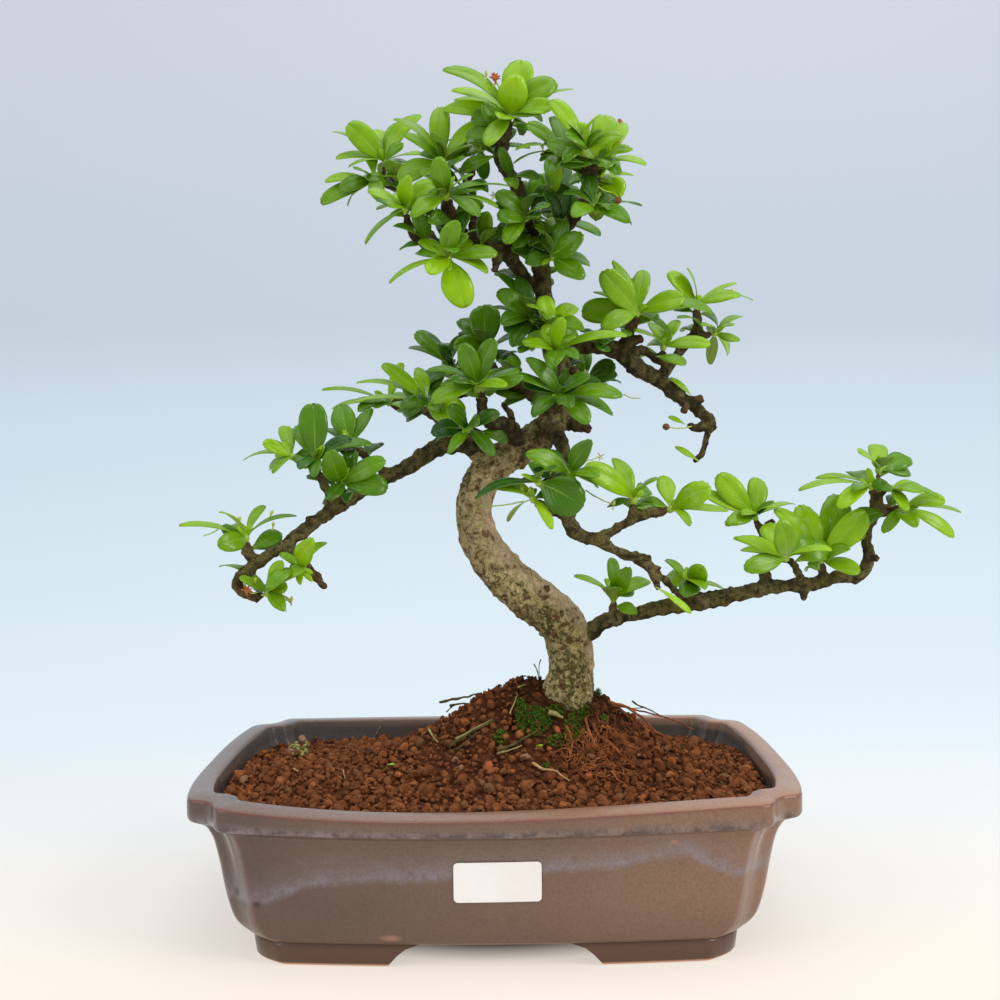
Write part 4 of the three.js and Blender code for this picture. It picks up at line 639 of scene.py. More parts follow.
def bark_material():
    # Values of each point: thickness of the limb, nearness to a shoot's end, paleness (painted highlight on
    # the sunny side of the trunk, and a paler band of the bare trunk), and painted shade below, under the
    # crown and in the pits.
    p = Paint("bark", "bark", Roughness=0.9, Specular_IOR_Level=0.2)
    thick, tip, pale, below = p.attribute("wood")
    where = p.where()
    clump = p.noise(330, 6, 0.72, where, 0.5)
    broad = p.noise(48, 3, 0.55, where, 0.6)
    grain = p.noise(1500, 4, 0.7, where)
    streak = p.noise(560, 4, 0.7, p.stretch(where, (1, 1, 0.45)))
    old = p.mix(p.ramp(streak, [(0.36, 0.0), (0.64, 1.0)]), srgb(164, 148, 90), srgb(226, 210, 156))
    young = p.mix(p.ramp(clump, [(0.4, 0.0), (0.6, 1.0)]), srgb(62, 57, 32), srgb(146, 134, 86))
    base = p.mix(thick, young, old)
    # Painted highlight: this pale colour goes where pale is high, on the sunny side of the trunk and on its
    # paler bare band.
    light = p.mix(p.ramp(streak, [(0.36, 0.0), (0.64, 1.0)]), srgb(184, 158, 120), srgb(222, 198, 162))
    base = p.mix(pale, base, light)
    base = p.mix(p.ramp(broad, [(0.46, 0.0), (0.62, 0.35)]), base, srgb(128, 118, 56))
    shade = p.sum("MULTIPLY_ADD", pale, -0.13, 0.02)
    dense = p.sum("ADD", p.sum("ADD", clump, shade), p.times(p.sum("SUBTRACT", broad, 0.5), 0.3))
    mottle = p.ramp(dense, [(0.53, 0.0), (0.585, 0.9)])
    moss = p.mix(p.ramp(grain, [(0.4, 0.0), (0.6, 1.0)]), srgb(54, 52, 22), srgb(100, 94, 44))
    base = p.mix(mottle, base, moss)
    rust = p.ramp(p.noise(250, 3, 0.5, where, 0.3), [(0.575, 0.0), (0.64, 0.8)])
    base = p.mix(p.times(rust, thick), base, srgb(104, 62, 40))
    # Painted shade: the dark colour on the undersides, high on the trunk under the crown and in the pits of
    # the bark.
    base = p.mix(p.times(below, 0.85), base, srgb(38, 33, 18))
    scales = p.mix(p.ramp(clump, [(0.42, 0.0), (0.6, 1.0)]), srgb(50, 38, 26), srgb(118, 88, 58))
    base = p.mix(tip, base, scales)
    base = p.mix(p.ramp(grain, [(0.34, 0.5), (0.56, 0.0)]), base, srgb(70, 56, 34), "MULTIPLY")
    coarse = p.bump(clump, 0.9, 0.0014)
    middle = p.bump(streak, 0.6, 0.0006, coarse)
    p.set(Base_Color=base, Normal=p.bump(grain, 0.6, 0.0003, middle))
    return p


def leaf_material():
    # Values of each point: darkness of the leaf (partly its own green, partly painted shade deep in the
    # crown), underside, distance from the midrib, place along the leaf.
    p = Paint("leaf", "leaf", Specular_IOR_Level=0.28)
    tone_and_painted_shade, under, across, along = p.attribute("leaf")
    where = p.where()
    cloud = p.noise(160, 3, 0.5, where)
    bright = p.mix(cloud, srgb(116, 164, 2), srgb(160, 202, 16))
    middle = p.mix(cloud, srgb(66, 112, 4), srgb(98, 146, 10))
    dark = p.mix(cloud, srgb(22, 62, 12), srgb(44, 92, 20))
    # From bright through middle to dark green by the leaf's darkness: partly its own green, partly painted
    # shade deep in the crown.
    top = p.mix(p.ramp(tone_and_painted_shade, [(0.0, 0.0), (0.5, 1.0)]), bright, middle)
    top = p.mix(p.ramp(tone_and_painted_shade, [(0.5, 0.0), (1.0, 1.0)]), top, dark)
    low = p.mix(tone_and_painted_shade, srgb(146, 180, 62), srgb(86, 118, 48))
    base = p.mix(under, top, low)
    slant = p.sum("ADD", p.times(along, 9.0), p.times(across, -3.2))
    ripple = p.sum("PINGPONG", slant, 0.5)
    vein = p.ramp(ripple, [(0.0, 1.0), (0.13, 0.0)])
    veins = p.times(vein, p.ramp(across, [(0.0, 1.0), (0.9, 0.0)]))
    rib = p.ramp(across, [(0.0, 1.0), (0.07, 0.0)])
    base = p.mix(p.times(veins, 0.10), base, srgb(164, 200, 70))
    base = p.mix(p.times(rib, p.ramp(along, [(0.0, 0.6), (0.9, 0.12)])), base, srgb(170, 200, 90))
    base = p.mix(p.ramp(along, [(0.0, 0.7), (0.2, 0.0)]), base, srgb(178, 212, 90))
    edge = p.ramp(across, [(0.93, 0.0), (1.0, 0.3)])
    base = p.mix(edge, base, srgb(124, 164, 30))
    flecks = p.ramp(p.cells(900), [(0.0, 0.5), (0.09, 0.0)])
    base = p.mix(flecks, base, srgb(60, 96, 24))
    puff = p.bump(ripple, 0.2, 0.0004)
    skin = p.bump(p.noise(1400, 3, 0.6, where), 0.12, 0.0002, puff)
    p.set(Base_Color=base, Normal=p.bump(rib, -0.6, 0.0004, skin))
    p.set(Roughness=p.mix(under, p.mix(tone_and_painted_shade, srgb(128, 128, 128), srgb(100, 100, 100)), srgb(175, 175, 175)))
    p.set(Subsurface_Weight=0.15, Subsurface_Radius=(0.5, 1.0, 0.2), Subsurface_Scale=0.001)
    return p


def pot_place(x, y, z):
    return ((x + SHIFT[0]) / 1000, (y + SHIFT[1]) / 1000, z / 1000)


# Dents, painted as dark spots of shade, and kiln marks on the glaze: where, how steeply they fade along x, y
# and z, how strong, their colour.
DENT_SHADE = [(0.0, 0.9), (0.4, 0.7), (0.8, 0.0)], srgb(40, 28, 32)
TAN_MARK = [(0.0, 0.6), (0.5, 0.4), (1.0, 0.0)], srgb(190, 136, 100)
POT_MARKS = [
    (pot_place(-108.5, -73, 28), (520, 30, 260), DENT_SHADE), (pot_place(-104.5, -76, 24), (640, 30, 240), DENT_SHADE),
    (pot_place(-98.5, -82, 26), (330, 30, 460), DENT_SHADE), (pot_place(-43, -90, 12.6), (190, 30, 560), TAN_MARK),
    (pot_place(73.5, -88, 52), (500, 30, 800), TAN_MARK),
]


def glaze_material():
    # Values of each point: sharp edges, inside, bare clay, foot of the lip; then the rim's top, the painted
    # highlight in the corner channels, and the painted shade lines under the lip, over the feet and under
    # the rim inside.
    p = Paint("glaze", "glaze", Specular_IOR_Level=0.42)
    edge, inside, clay, lip = p.attribute("glaze")
    crown, painted_channel_highlight, painted_shade_lines, foot = p.attribute("rim")
    where = p.where()
    x, _, z = p.axes(where)
    broad = p.noise(14, 3, 0.5, where)
    cloud = p.noise(55, 4, 0.55, where)
    grain = p.noise(900, 4, 0.65, where)
    base = p.mix(p.ramp(broad, [(0.35, 0.0), (0.65, 1.0)]), srgb(74, 63, 60), srgb(100, 82, 71))
    # Painted light: the pot grows lighter and warmer towards the right, as if lit from the right.
    side = p.sum("MULTIPLY_ADD", x, 4.0, 0.62)
    right = p.ramp(side, [(0.0, 0.0), (1.0, 0.85)])
    base = p.mix(right, base, srgb(146, 110, 86))
    level = p.sum("DIVIDE", z, 0.07)
    along = p.sum("MULTIPLY_ADD", x, 5.0, 0.5 - SHIFT[0] / 200)
    run = p.ramp(along, [(0.0, 0.40), (0.1, 0.52), (0.37, 0.575), (0.6, 0.62), (0.9, 0.69), (0.99, 0.55)])
    shift = p.times(p.sum("SUBTRACT", p.noise(40, 4, 0.6, p.stretch(where, (1, 1, 0.1))), 0.5), 0.12)
    past = p.sum("ADD", p.sum("SUBTRACT", p.sum("ADD", level, shift), run), 0.5)
    worn = p.ramp(p.noise(130, 5, 0.7, where), [(0.36, 0.35), (0.62, 1.0)])
    band = p.ramp(past, [(0.44, 0.0), (0.48, 0.85), (0.50, 0.65), (0.57, 0.2), (0.68, 0.0)])
    base = p.mix(p.times(band, worn), base, srgb(136, 131, 142))
    below = p.ramp(level, [(0.05, 0.7), (0.4, 0.0)])
    base = p.mix(below, base, srgb(106, 78, 60))
    # The rim's top: its own reddish brown, lightened as painted light from above and more so towards the
    # right.
    top = p.mix(p.ramp(side, [(0.0, 0.0), (1.0, 1.0)]), srgb(124, 102, 92), srgb(178, 130, 96))
    base = p.mix(crown, base, top)
    blotch = p.ramp(p.noise(170, 5, 0.7, where), [(0.42, 1.0), (0.56, 0.0)])
    base = p.mix(p.times(lip, worn), base, p.mix(right, srgb(140, 129, 134), srgb(133, 112, 100)))
    base = p.mix(p.times(p.times(lip, blotch), 0.75), base, srgb(58, 48, 52))
    base = p.mix(p.ramp(grain, [(0.35, 0.28), (0.6, 0.0)]), base, srgb(58, 44, 38))
    specks = p.ramp(p.cells(260), [(0.0, 0.9), (0.1, 0.0)])
    base = p.mix(p.times(specks, p.ramp(cloud, [(0.45, 0.0), (0.6, 1.0)])), base, srgb(44, 34, 34))
    # Painted highlight: a pale line down the corner channels.
    base = p.mix(p.times(painted_channel_highlight, 0.65), base, srgb(176, 160, 148))
    base = p.mix(p.times(edge, p.ramp(cloud, [(0.25, 0.6), (0.6, 1.0)])), base, srgb(116, 60, 48))
    base = p.mix(p.times(foot, 0.88), base, srgb(82, 53, 36))
    # Painted shade: dark lines under the lip, over the feet and under the rim inside.
    base = p.mix(p.times(painted_shade_lines, 0.8), base, srgb(46, 36, 34))
    # Painted shade in the dents, and the tan kiln marks.
    for at, size, (stops, colour) in POT_MARKS:
        base = p.mix(p.ramp(p.far_from(where, at, size), stops), base, colour)
    base = p.mix(inside, base, srgb(74, 64, 60))
    base = p.mix(clay, base, srgb(196, 150, 112))
    p.set(Base_Color=base, Coat_Weight=0.2, Coat_Roughness=0.35)
    p.set(Roughness=p.mix(clay, p.mix(cloud, srgb(128, 128, 128), srgb(160, 160, 160)), srgb(225, 225, 225)))
    wave = p.bump(cloud, 0.16, 0.003)
    p.set(Normal=p.bump(grain, 0.16, 0.0003, wave))
    return p


def soil_material():
    # Values of each point: two random numbers of its grain, its painted shade (under the grains and in the
    # gaps between them) and how dark its mould is.
    p = Paint("soil", "soil", Roughness=1.0, Specular_IOR_Level=0.08)
    first, second, painted_shade_deep, mould = p.attribute("grain")
    where = p.where()
    base = p.mix(first, srgb(104, 58, 34), srgb(150, 94, 58))
    base = p.mix(p.ramp(second, [(0.8, 0.0), (1.0, 0.8)]), base, srgb(190, 116, 64))
    base = p.mix(p.ramp(second, [(0.0, 0.75), (0.05, 0.0)]), base, srgb(136, 106, 74))
    powder = p.noise(700, 5, 0.7, where)
    base = p.mix(p.ramp(powder, [(0.36, 0.55), (0.62, 0.0)]), base, srgb(70, 34, 18))
    base = p.mix(p.ramp(p.noise(260, 4, 0.6, where), [(0.5, 0.0), (0.72, 0.4)]), base, srgb(176, 112, 72))
    # Painted shade: darker on the lower sides of the grains, in the gaps of the bed and in the lowest layer.
    base = p.mix(p.sum("MULTIPLY", painted_shade_deep, 0.97, clamp=True), base, srgb(30, 13, 7))
    base = p.mix(p.times(mould, 0.75), base, srgb(50, 28, 17))
    p.set(Base_Color=base)
    rough = p.bump(p.noise(1100, 5, 0.75, where), 0.75, 0.0006)
    p.set(Normal=p.bump(p.noise(420, 4, 0.6, where), 0.6, 0.0012, rough))
    return p


def plain_material(name, slot, colour, other, scale, roughness=0.7, depth=0.0003, **more):
    """Two colours mottled together, with a fine relief."""
    p = Paint(name, slot, Roughness=roughness, **{"Specular_IOR_Level": 0.15, **more})
    cloud = p.noise(scale, 4, 0.6)
    p.set(Base_Color=p.mix(p.ramp(cloud, [(0.3, 0.0), (0.7, 1.0)]), colour, other))
    p.set(Normal=p.bump(p.noise(scale * 2.5, 3, 0.6), 0.5, depth))
    return p


def moss_material():
    # Values of each point: a random number of its sprig and height up the sprig.
    p = Paint("moss", "leaf", Roughness=0.8, Specular_IOR_Level=0.2)
    shade, rise, _, _ = p.attribute("sprig")
    low = p.mix(shade, srgb(18, 36, 4), srgb(36, 62, 10))
    p.set(Base_Color=p.mix(rise, low, p.mix(shade, srgb(62, 98, 16), srgb(118, 150, 40))))
    return p


BARK = bark_material()
LEAF = leaf_material()
GLAZE = glaze_material()
SOIL = soil_material()
PAPER = plain_material("paper", "paper", srgb(240, 238, 236), srgb(247, 246, 245), 60, 0.45, 0.00003)
NET = plain_material("net", "net", srgb(30, 42, 38), srgb(44, 58, 52), 300, 0.6)
MOSS = moss_material()
ROOT = plain_material("root", "bark", srgb(72, 34, 18), srgb(178, 108, 64), 170, 0.85)
PALE_ROOT = plain_material("pale_root", "bark", srgb(176, 134, 84), srgb(216, 184, 134), 300, 0.8)
PEBBLE = plain_material("pale_grain", "soil", srgb(126, 92, 70), srgb(170, 130, 102), 300, 0.9)
CHIP = plain_material("clay_chip", "soil", srgb(146, 78, 42), srgb(190, 114, 68), 300, 0.95)
DRY_STICK = plain_material("dry_stick", "bark", srgb(52, 48, 34), srgb(110, 104, 62), 300, 0.85)
STRAW = plain_material("straw", "bark", srgb(120, 116, 66), srgb(190, 184, 120), 300, 0.8)
BUD = plain_material("bud", "leaf", srgb(150, 180, 66), srgb(206, 214, 120), 500, 0.55)
PETAL = plain_material("petal", "leaf", srgb(214, 214, 160), srgb(240, 238, 210), 500, 0.6)
DRIED = plain_material("dried_flower", "leaf", srgb(150, 76, 40), srgb(196, 122, 74), 600, 0.75)
BERRY = plain_material("berry", "leaf", srgb(92, 60, 36), srgb(142, 104, 66), 500, 0.5)

# Wood

MIDDLES = []
MIDDLES_A_SPAN = 8


def grown_route(route):
    """The route's points, its first one moved to the middle of the limb that it lies deepest in."""
    points = [on_tree(row) for row in route]
    if MIDDLES:
        best = min(MIDDLES, key=lambda m: float(np.linalg.norm(m[0] - points[0])) - m[1])
        points[0] = best[0]
    steps = MIDDLES_A_SPAN * (len(route) - 1)
    for i in range(steps + 1):
        MIDDLES.append((curve_point(points, i / steps), route[min(len(route) - 1, i // MIDDLES_A_SPAN)][3]))
    return points


def fine_limb(route, spacing):
    """Close stations along a limb: middles and radii."""
    points = grown_route(route)
    spans = len(points) - 1
    length = sum(float(np.linalg.norm(b - a)) for a, b in zip(points, points[1:]))
    steps = max(4, int(length / spacing))
    stations = np.linspace(0, 1, steps + 1)
    centres = np.array([curve_point(points, t) for t in stations])
    radii = np.interp(stations * spans, np.arange(spans + 1), [row[3] for row in route])
    return centres, radii


def round_end(centres, radii, blunt):
    """Draws the end of a limb in: blunt ends look cut, others are domed."""
    along = unit(centres[-1] - centres[-2])
    end, radius = centres[-1], radii[-1]
    for reach, share in [(0.25, 0.92), (0.4, 0.7)] if blunt else [(0.35, 0.9), (0.65, 0.68), (0.85, 0.36)]:
        centres = np.vstack([centres, end + along * radius * reach])
        radii = np.append(radii, radius * share)
    return centres, radii


LIMBS = (
    [("trunk", TRUNK)]
    + [("branch", route) for route in BRANCHES]
    + [("twig", route) for route in TWIGS.values()]
    + [("stub", route) for route in STUBS]
)
KNOB_STEPS = {"trunk": 7, "branch": 3, "twig": 2, "stub": 3}
BARK_VOXEL = 0.0009


def add_knobs(raw, kind, centres, radii, draw):
    """Small bumps all along a limb."""
    tangents = np.gradient(centres, axis=0)
    for i in range(3, len(centres) - 1, KNOB_STEPS[kind]):
        radius = radii[i]
        turn = draw() * 2 * math.pi
        size = (0.24 + 0.34 * draw() ** 1.5) * min(radius, 4.0) + 0.35
        along = unit(tangents[i])
        side = unit(np.cross(along, np.array([0.3, 1.0, 0.2])))
        out = side * math.cos(turn) + np.cross(along, side) * math.sin(turn)
        start = centres[i] + out * radius * 0.6
        end = centres[i] + out * (radius + size * 0.35) + along * size * 0.5
        raw.add(*sweep([start, (start + end) / 2, end], [size * 1.1, size, size * 0.6], 7))


def melt_together(piece):
    melt = piece.modifiers.new("melt", "REMESH")
    melt.mode = "VOXEL"
    melt.voxel_size = BARK_VOXEL
    melt.use_smooth_shade = True
    soften = piece.modifiers.new("soften", "CORRECTIVE_SMOOTH")
    soften.factor = 0.5
    soften.iterations = 4
    soften.use_only_smooth = True
    return applied(piece)


def nearest_stations(points, stations, facts):
    """For each point the station that it belongs to. Near the trunk, that is one of the trunk's own."""
    tree = search_tree(stations)
    nearest = np.array([tree.find(Vector(p))[1] for p in points])
    in_trunk = [i for i, fact in enumerate(facts) if fact[2] > 0.5]
    column = search_tree([stations[i] for i in in_trunk])
    for k, point in enumerate(points):
        _, found, far = column.find(Vector(point))
        i = in_trunk[found]
        if far * 1000 < facts[i][0] * 1.35 + 0.5:
            nearest[k] = i
    return nearest


def make_wood():
    """Every limb as a round tube with knobs on it, melted together, then roughened as bark."""
    raw = Shape()
    stations, facts = [], []
    draw = random_source(SEEDS["bark"])
    for kind, route in LIMBS:
        centres, radii = fine_limb(route, 1.0)
        for i, (centre, radius) in enumerate(zip(centres, radii)):
            share = i / (len(centres) - 1)
            near_end = smooth_step(0.35, 0.9, share) if kind in ("twig", "stub") else 0.0
            if kind == "branch":
                near_end = 0.65 * smooth_step(0.75, 1.0, share)
            stations.append((centre + SHIFT) / 1000)
            facts.append((radius, near_end, 1.0 if kind == "trunk" else 0.0))
        raw.add(*sweep(*round_end(centres, radii, kind == "stub"), 28 if kind == "trunk" else 12))
        add_knobs(raw, kind, centres, radii, draw)
    piece = raw.build("wood_bark", BARK.material)
    mesh = melt_together(piece)
    points = points_of(mesh)
    nearest = nearest_stations(points, stations, facts)
    radius, near_end, _ = np.array(facts)[nearest].T
    spots = points * 1000
    height = spots[:, 2]
    thick = smooth_step(3.5, 9.0, radius)
    away = points - np.array(stations)[nearest]
    away /= np.maximum(1e-9, np.linalg.norm(away, axis=1))[:, None]
    # The sunny side of the bare trunk is pale.
    pale = thick * np.clip(away[:, 0] * 0.9 + away[:, 2] * 0.75 + away[:, 1] * 0.1 - 0.1, 0, 1)
    pale *= smooth_step(104, 124, height) * (1 - smooth_step(190, 206, height))
    bare = thick * smooth_step(150, 168, height) * (1 - smooth_step(193, 205, height))
    pale = np.clip(pale * 1.5 + 0.35 * bare, 0, 1)
    lump = noise3(spots, 7.0, 3) * (0.3 + 0.45 * thick)
    knobbly = noise3(spots, 2.4, 4) * (0.7 - 0.2 * thick * (1 + pale))
    warts = np.maximum(0, noise3(spots, 2.8, 9) - 0.3) * 1.9 * thick * (1 - 0.8 * pale)
    fine = noise3(spots, 1.1, 5) * 0.26
    ridge = 0.3 * (0.4 - np.abs(noise3(spots * np.array([1, 1, 0.45]), 1.9, 6)))
    scaly = noise3(spots, 0.9, 7) * 0.28 * near_end
    push = (lump + knobbly + warts + fine + ridge + scaly) * np.clip(radius / 2.2, 0.45, 1.0)
    points = points + normals_of(mesh) * (push / 1000)[:, None]
    mesh.vertices.foreach_set("co", points.astype(np.float32).ravel())
    # Painted shade: darker on the undersides of the limbs, above 196 mm under the crown, and in the pits of
    # the bark.
    below = np.clip(-away[:, 2] * 0.8 - away[:, 0] * 0.35 * thick - 0.1, 0, 1) * (0.8 - 0.35 * thick)
    below = below + 0.55 * smooth_step(196, 215, height) * (1 - 0.6 * np.clip(away[:, 2], 0, 1))
    pits = np.clip(0.15 - (knobbly + fine + ridge) * 1.6, -0.35, 0.8) * (1 - 0.5 * thick)
    below = np.clip(below + pits, 0, 1)
    store_values(mesh, "wood", np.stack([thick, near_end * 0.85, pale, below], axis=1))
    mesh.polygons.foreach_set("use_smooth", [True] * len(mesh.polygons))
    dress(mesh, BARK.material)
    mesh.update()
    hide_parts("wood")


make_wood()

# Leaves

SWINGS = [0, 5, -5, 9, -9, 13, -13, 17, -17, 22, -22]
CAD_HALF = [(0.6, 0.5), (0.95, 0.3)]
CAD_NOTCH = 0.92
BLADE_START = 0.1
# How dark each shoot's leaves are: partly their own green, partly painted shade for shoots deep in the crown
# or behind it.
SHOOT_TONE_AND_PAINTED_SHADE = {
    "left_high": 0.75, "left_inner": 0.6, "left_behind": 0.6, "lower_round": 0.85, "trunk_front": 0.65,
    "trunk_behind": 0.6, "crown_back": 0.7, "middle_high": 0.7, "middle_front": 0.45, "middle_back": 0.6,
    "middle_low": 0.6, "lower_top": 0.5, "crown_centre": 0.65, "crown_low": 0.6, "crown_front": 0.5,
    "crown_side": 0.6, "trunk_left": 0.6, "right_spur": 0.4, "crown_inner": 0.5, "crown_right": 0.5,
}


def leaf_frame(root, tip, facing):
    along = tip - root
    length = float(np.linalg.norm(along))
    along = along / length
    normal = np.array([0.0, -facing, 1.05 - facing])
    normal = unit(normal - along * float(normal @ along))
    return along, normal, np.cross(normal, along), length


def cad_outline(root, tip, facing, width, arch):
    """The corners of the leaf's solid, to find how it swung."""
    along, normal, across, length = leaf_frame(root, tip, facing)
    found = []
    for far, side in CAD_HALF + [(CAD_NOTCH, 0)] + [(f, -s) for f, s in CAD_HALF]:
        blade = max(0.0, (far - BLADE_START) / (1 - BLADE_START))
        lift = arch * length * 4 * far * (1 - far) + LEAF_CUP * width * abs(side) * blade
        base = root + along * far * length + across * side * width + normal * lift
        found += [base + normal * LEAF_THICK / 2, base - normal * LEAF_THICK / 2]
    return np.array(found)


# Half of a leaf's outline: share of its length, share of its width.
HALF_OUTLINE = np.array([
    [0.0, 0.035], [0.06, 0.045], [0.12, 0.10], [0.2, 0.20], [0.3, 0.325], [0.42, 0.435], [0.54, 0.49],
    [0.64, 0.5], [0.74, 0.485], [0.83, 0.435], [0.90, 0.355], [0.95, 0.26], [0.98, 0.14], [0.985, 0.0],
])
FINE_LEAF, SMALL_LEAF = (14, 4), (9, 3)


def half_outline(draw, side, steps, pointed, swell):
    """The outline's points for one half of one leaf, with a few blunt teeth near the tip."""
    where = np.linspace(0, len(HALF_OUTLINE) - 1, 4 * steps)
    corners = np.arange(len(HALF_OUTLINE))
    line = np.stack([np.interp(where, corners, HALF_OUTLINE[:, k]) for k in (0, 1)], axis=1)
    kernel = np.array([0.25, 0.5, 0.25])
    for _ in range(3):
        line[1:-1] = sum(kernel[k] * line[k:len(line) - 2 + k] for k in range(3))
    line[:, 1] *= 1 - 0.55 * pointed * smooth_step(0.5, 1.0, line[:, 0])
    line[:, 0] = line[:, 0] ** swell * (1 + 0.02 * pointed)
    share = np.concatenate([[0], np.cumsum(np.linalg.norm(np.diff(line, axis=0), axis=1))])
    share /= share[-1]
    rows = np.linspace(0, 1, steps + 1) ** 0.85
    line = np.stack([np.interp(rows, share, line[:, k]) for k in (0, 1)], axis=1)
    for tooth in [0.93, 0.82, 0.71][: int(draw() * 4)]:
        near = np.argmin(np.abs(rows - tooth - 0.03 * (draw() - 0.5)))
        depth = 0.008 + 0.016 * draw()
        line[near, 1] = max(0.0, line[near, 1] - depth)
        line[near, 0] -= depth * 0.7
    line[:, 1] *= side
    return rows, line


def leaf_shape(shape, root, tip, facing, width, arch, draw, tone_and_painted_shade, thick=0.42, grid_size=FINE_LEAF, wild=0.0):
    """One leaf: rows that run from the midrib forward to the toothed margin, as a thin closed blade."""
    along, normal, across, length = leaf_frame(root, tip, facing)
    steps, half_columns = grid_size
    wave = draw() * FULL_TURN
    ruffle = 0.012 + (0.016 + 0.02 * wild) * draw()
    roll = 0.04 + 0.1 * draw()
    bend = (draw() - 0.5) * (0.06 + 0.06 * wild)
    pointed = max(0.0, 2.2 * draw() - 1.5)
    swell = 0.9 + 0.2 * draw()
    lopsided = 0.16 * (draw() - 0.5)
    twist = (0.6 + 0.8 * wild) * (draw() - 0.5)
    droop = (0.07 + 0.22 * wild) * draw()
    rows, right = half_outline(draw, 1 + lopsided, steps, pointed, swell)
    _, left = half_outline(draw, lopsided - 1, steps, pointed, swell)
    rib = np.interp(rows, [0, 0.1, 1.0], [0.0, 0.075, 0.95])
    columns = 2 * half_columns + 1
    grid = np.zeros((steps + 1, columns, 3))
    values = np.zeros((steps + 1, columns, 4))
    for c in range(columns):
        t = (c - half_columns) / half_columns
        half = right if t >= 0 else left
        share = abs(t)
        far = rib + (half[:, 0] - rib) * share ** 1.15
        side = half[:, 1] * share
        blade = np.maximum(0, (far - BLADE_START) / (1 - BLADE_START))
        lift = arch * length * 4 * far * (1 - far) + LEAF_CUP * width * np.abs(side) * blade
        lift += ruffle * width * np.sin(9 * far + wave + 2.2 * t) * blade * share
        lift -= roll * width * share ** 5 * blade
        lift -= 0.03 * width * (1 - share) ** 3 * blade
        lift -= 2 * droop * length * np.maximum(0, far - 0.4) ** 2
        turn = twist * (far - 0.3)
        reach = side * width
        sway = bend * length * np.sin(math.pi * far) + reach * np.cos(turn)
        lift += reach * np.sin(turn)
        grid[:, c] = root + np.outer(far * length, along) + np.outer(sway, across) + np.outer(lift, normal)
        values[:, c, 2] = share
        values[:, c, 3] = rows
    values[:, :, 0] = tone_and_painted_shade
    thin = thick * (1.0 - 0.35 * values[:, :, 2:3] ** 2)
    top = (grid + normal * thin / 2).reshape(-1, 3)
    low = (grid - normal * thin / 2).reshape(-1, 3)
    values = values.reshape(-1, 4)
    low_values = values.copy()
    low_values[:, 1] = 1.0
    shape.add(np.vstack([top, low]), sheet_faces(columns, steps + 1), np.vstack([values, low_values]))


def find_swing(corners_of, tree):
    """The swing whose corners lie on the solid, and how many of them do."""
    best, best_count = None, 0
    for swing in SWINGS:
        corners = (corners_of(swing) + SHIFT) / 1000
        on_it = sum(tree.find(Vector(c))[2] < 0.00008 for c in corners)
        if on_it > best_count:
            best, best_count = swing, on_it
    return best, best_count


# As in the part: the further leaves of the thick shoots.
FURTHER_LEAVES = {
    "crown_top": 2, "crown_inner": 2, "crown_middle": 2, "crown_far": 1, "crown_outer": 1, "crown_front": 2,
    "crown_left": 1, "crown_centre": 3, "crown_back": 1, "crown_low": 1, "crown_right": 2, "crown_high": 2,
    "crown_edge": 1, "crown_side": 1, "crown_bright": 1, "middle_left": 1, "middle_front": 1,
    "middle_high": 2, "middle_back": 2, "trunk_left": 1, "trunk_upper": 2, "trunk_right": 2,
    "trunk_behind": 1, "right_spur": 1,
}
FURTHER_REACH, FURTHER_WIDTH, FURTHER_BEHIND = (9, 19), (7, 11), 0.7


def leaf_rows(name, root, seed):
    draw = random_source(seed)
    middle_x, middle_z = flat_place(root)
    rows = list(SHOOTS[name])
    for k in range(FURTHER_LEAVES.get(name, 0)):
        turn = (k + draw()) * GOLDEN_TURN
        reach = FURTHER_REACH[0] + (FURTHER_REACH[1] - FURTHER_REACH[0]) * draw()
        depth = 4 if draw() < FURTHER_BEHIND else -4
        facing = 0.3 + 0.5 * draw()
        width = FURTHER_WIDTH[0] + (FURTHER_WIDTH[1] - FURTHER_WIDTH[0]) * draw()
        x, z = middle_x + reach * math.cos(turn), middle_z + reach * math.sin(turn)
        rows.append((x, z, depth, facing, width))
    return rows


# How many small leaves fill each shoot, by the first word of its name.
FILLING = {"crown": 9, "middle": 8, "trunk": 7, "right": 5, "left": 4, "lower": 4, "long": 3}


def small_leaf(shape, start, way, draw, tone_and_painted_shade):
    length = 11 + 9 * draw()
    if (start + way * length)[1] > 92:
        way = unit(way * np.array([1, -0.4, 1]))
    leaf_shape(shape, start, start + way * length, 0.3 + 0.5 * draw(), length * (0.4 + 0.16 * draw()),
               0.05 + 0.08 * draw(), draw, min(1.0, max(0.0, tone_and_painted_shade)), 0.42, SMALL_LEAF, 1.0)


def filling_leaves(shape, name, root, twig, draw, tone_and_painted_shade):
    """Smaller leaves round the bud and along the twig, inside the reach of the shoot's own."""
    for k in range(FILLING[name.split("_")[0]]):
        turn = (k + draw()) * GOLDEN_TURN
        way = unit(np.array([math.cos(turn), 1.15 * math.sin(turn) + 0.25, -0.35 + 1.1 * draw()]))
        start = root + way * 0.4
        if draw() < 0.45:
            start = curve_point(twig, 0.45 + 0.5 * draw()) + way * 1.6
        # Painted shade: the filling leaves inside the shoot are darker than its own leaves.
        small_leaf(shape, start, way, draw, tone_and_painted_shade + 0.25 + 0.5 * (draw() - 0.5))


# Zones of the crown where leaves also sit on the branches: left, right, low and high as the eye sees them.
SPUR_ZONES = [(-72, 64, 284, 384), (-48, 62, 228, 284)]


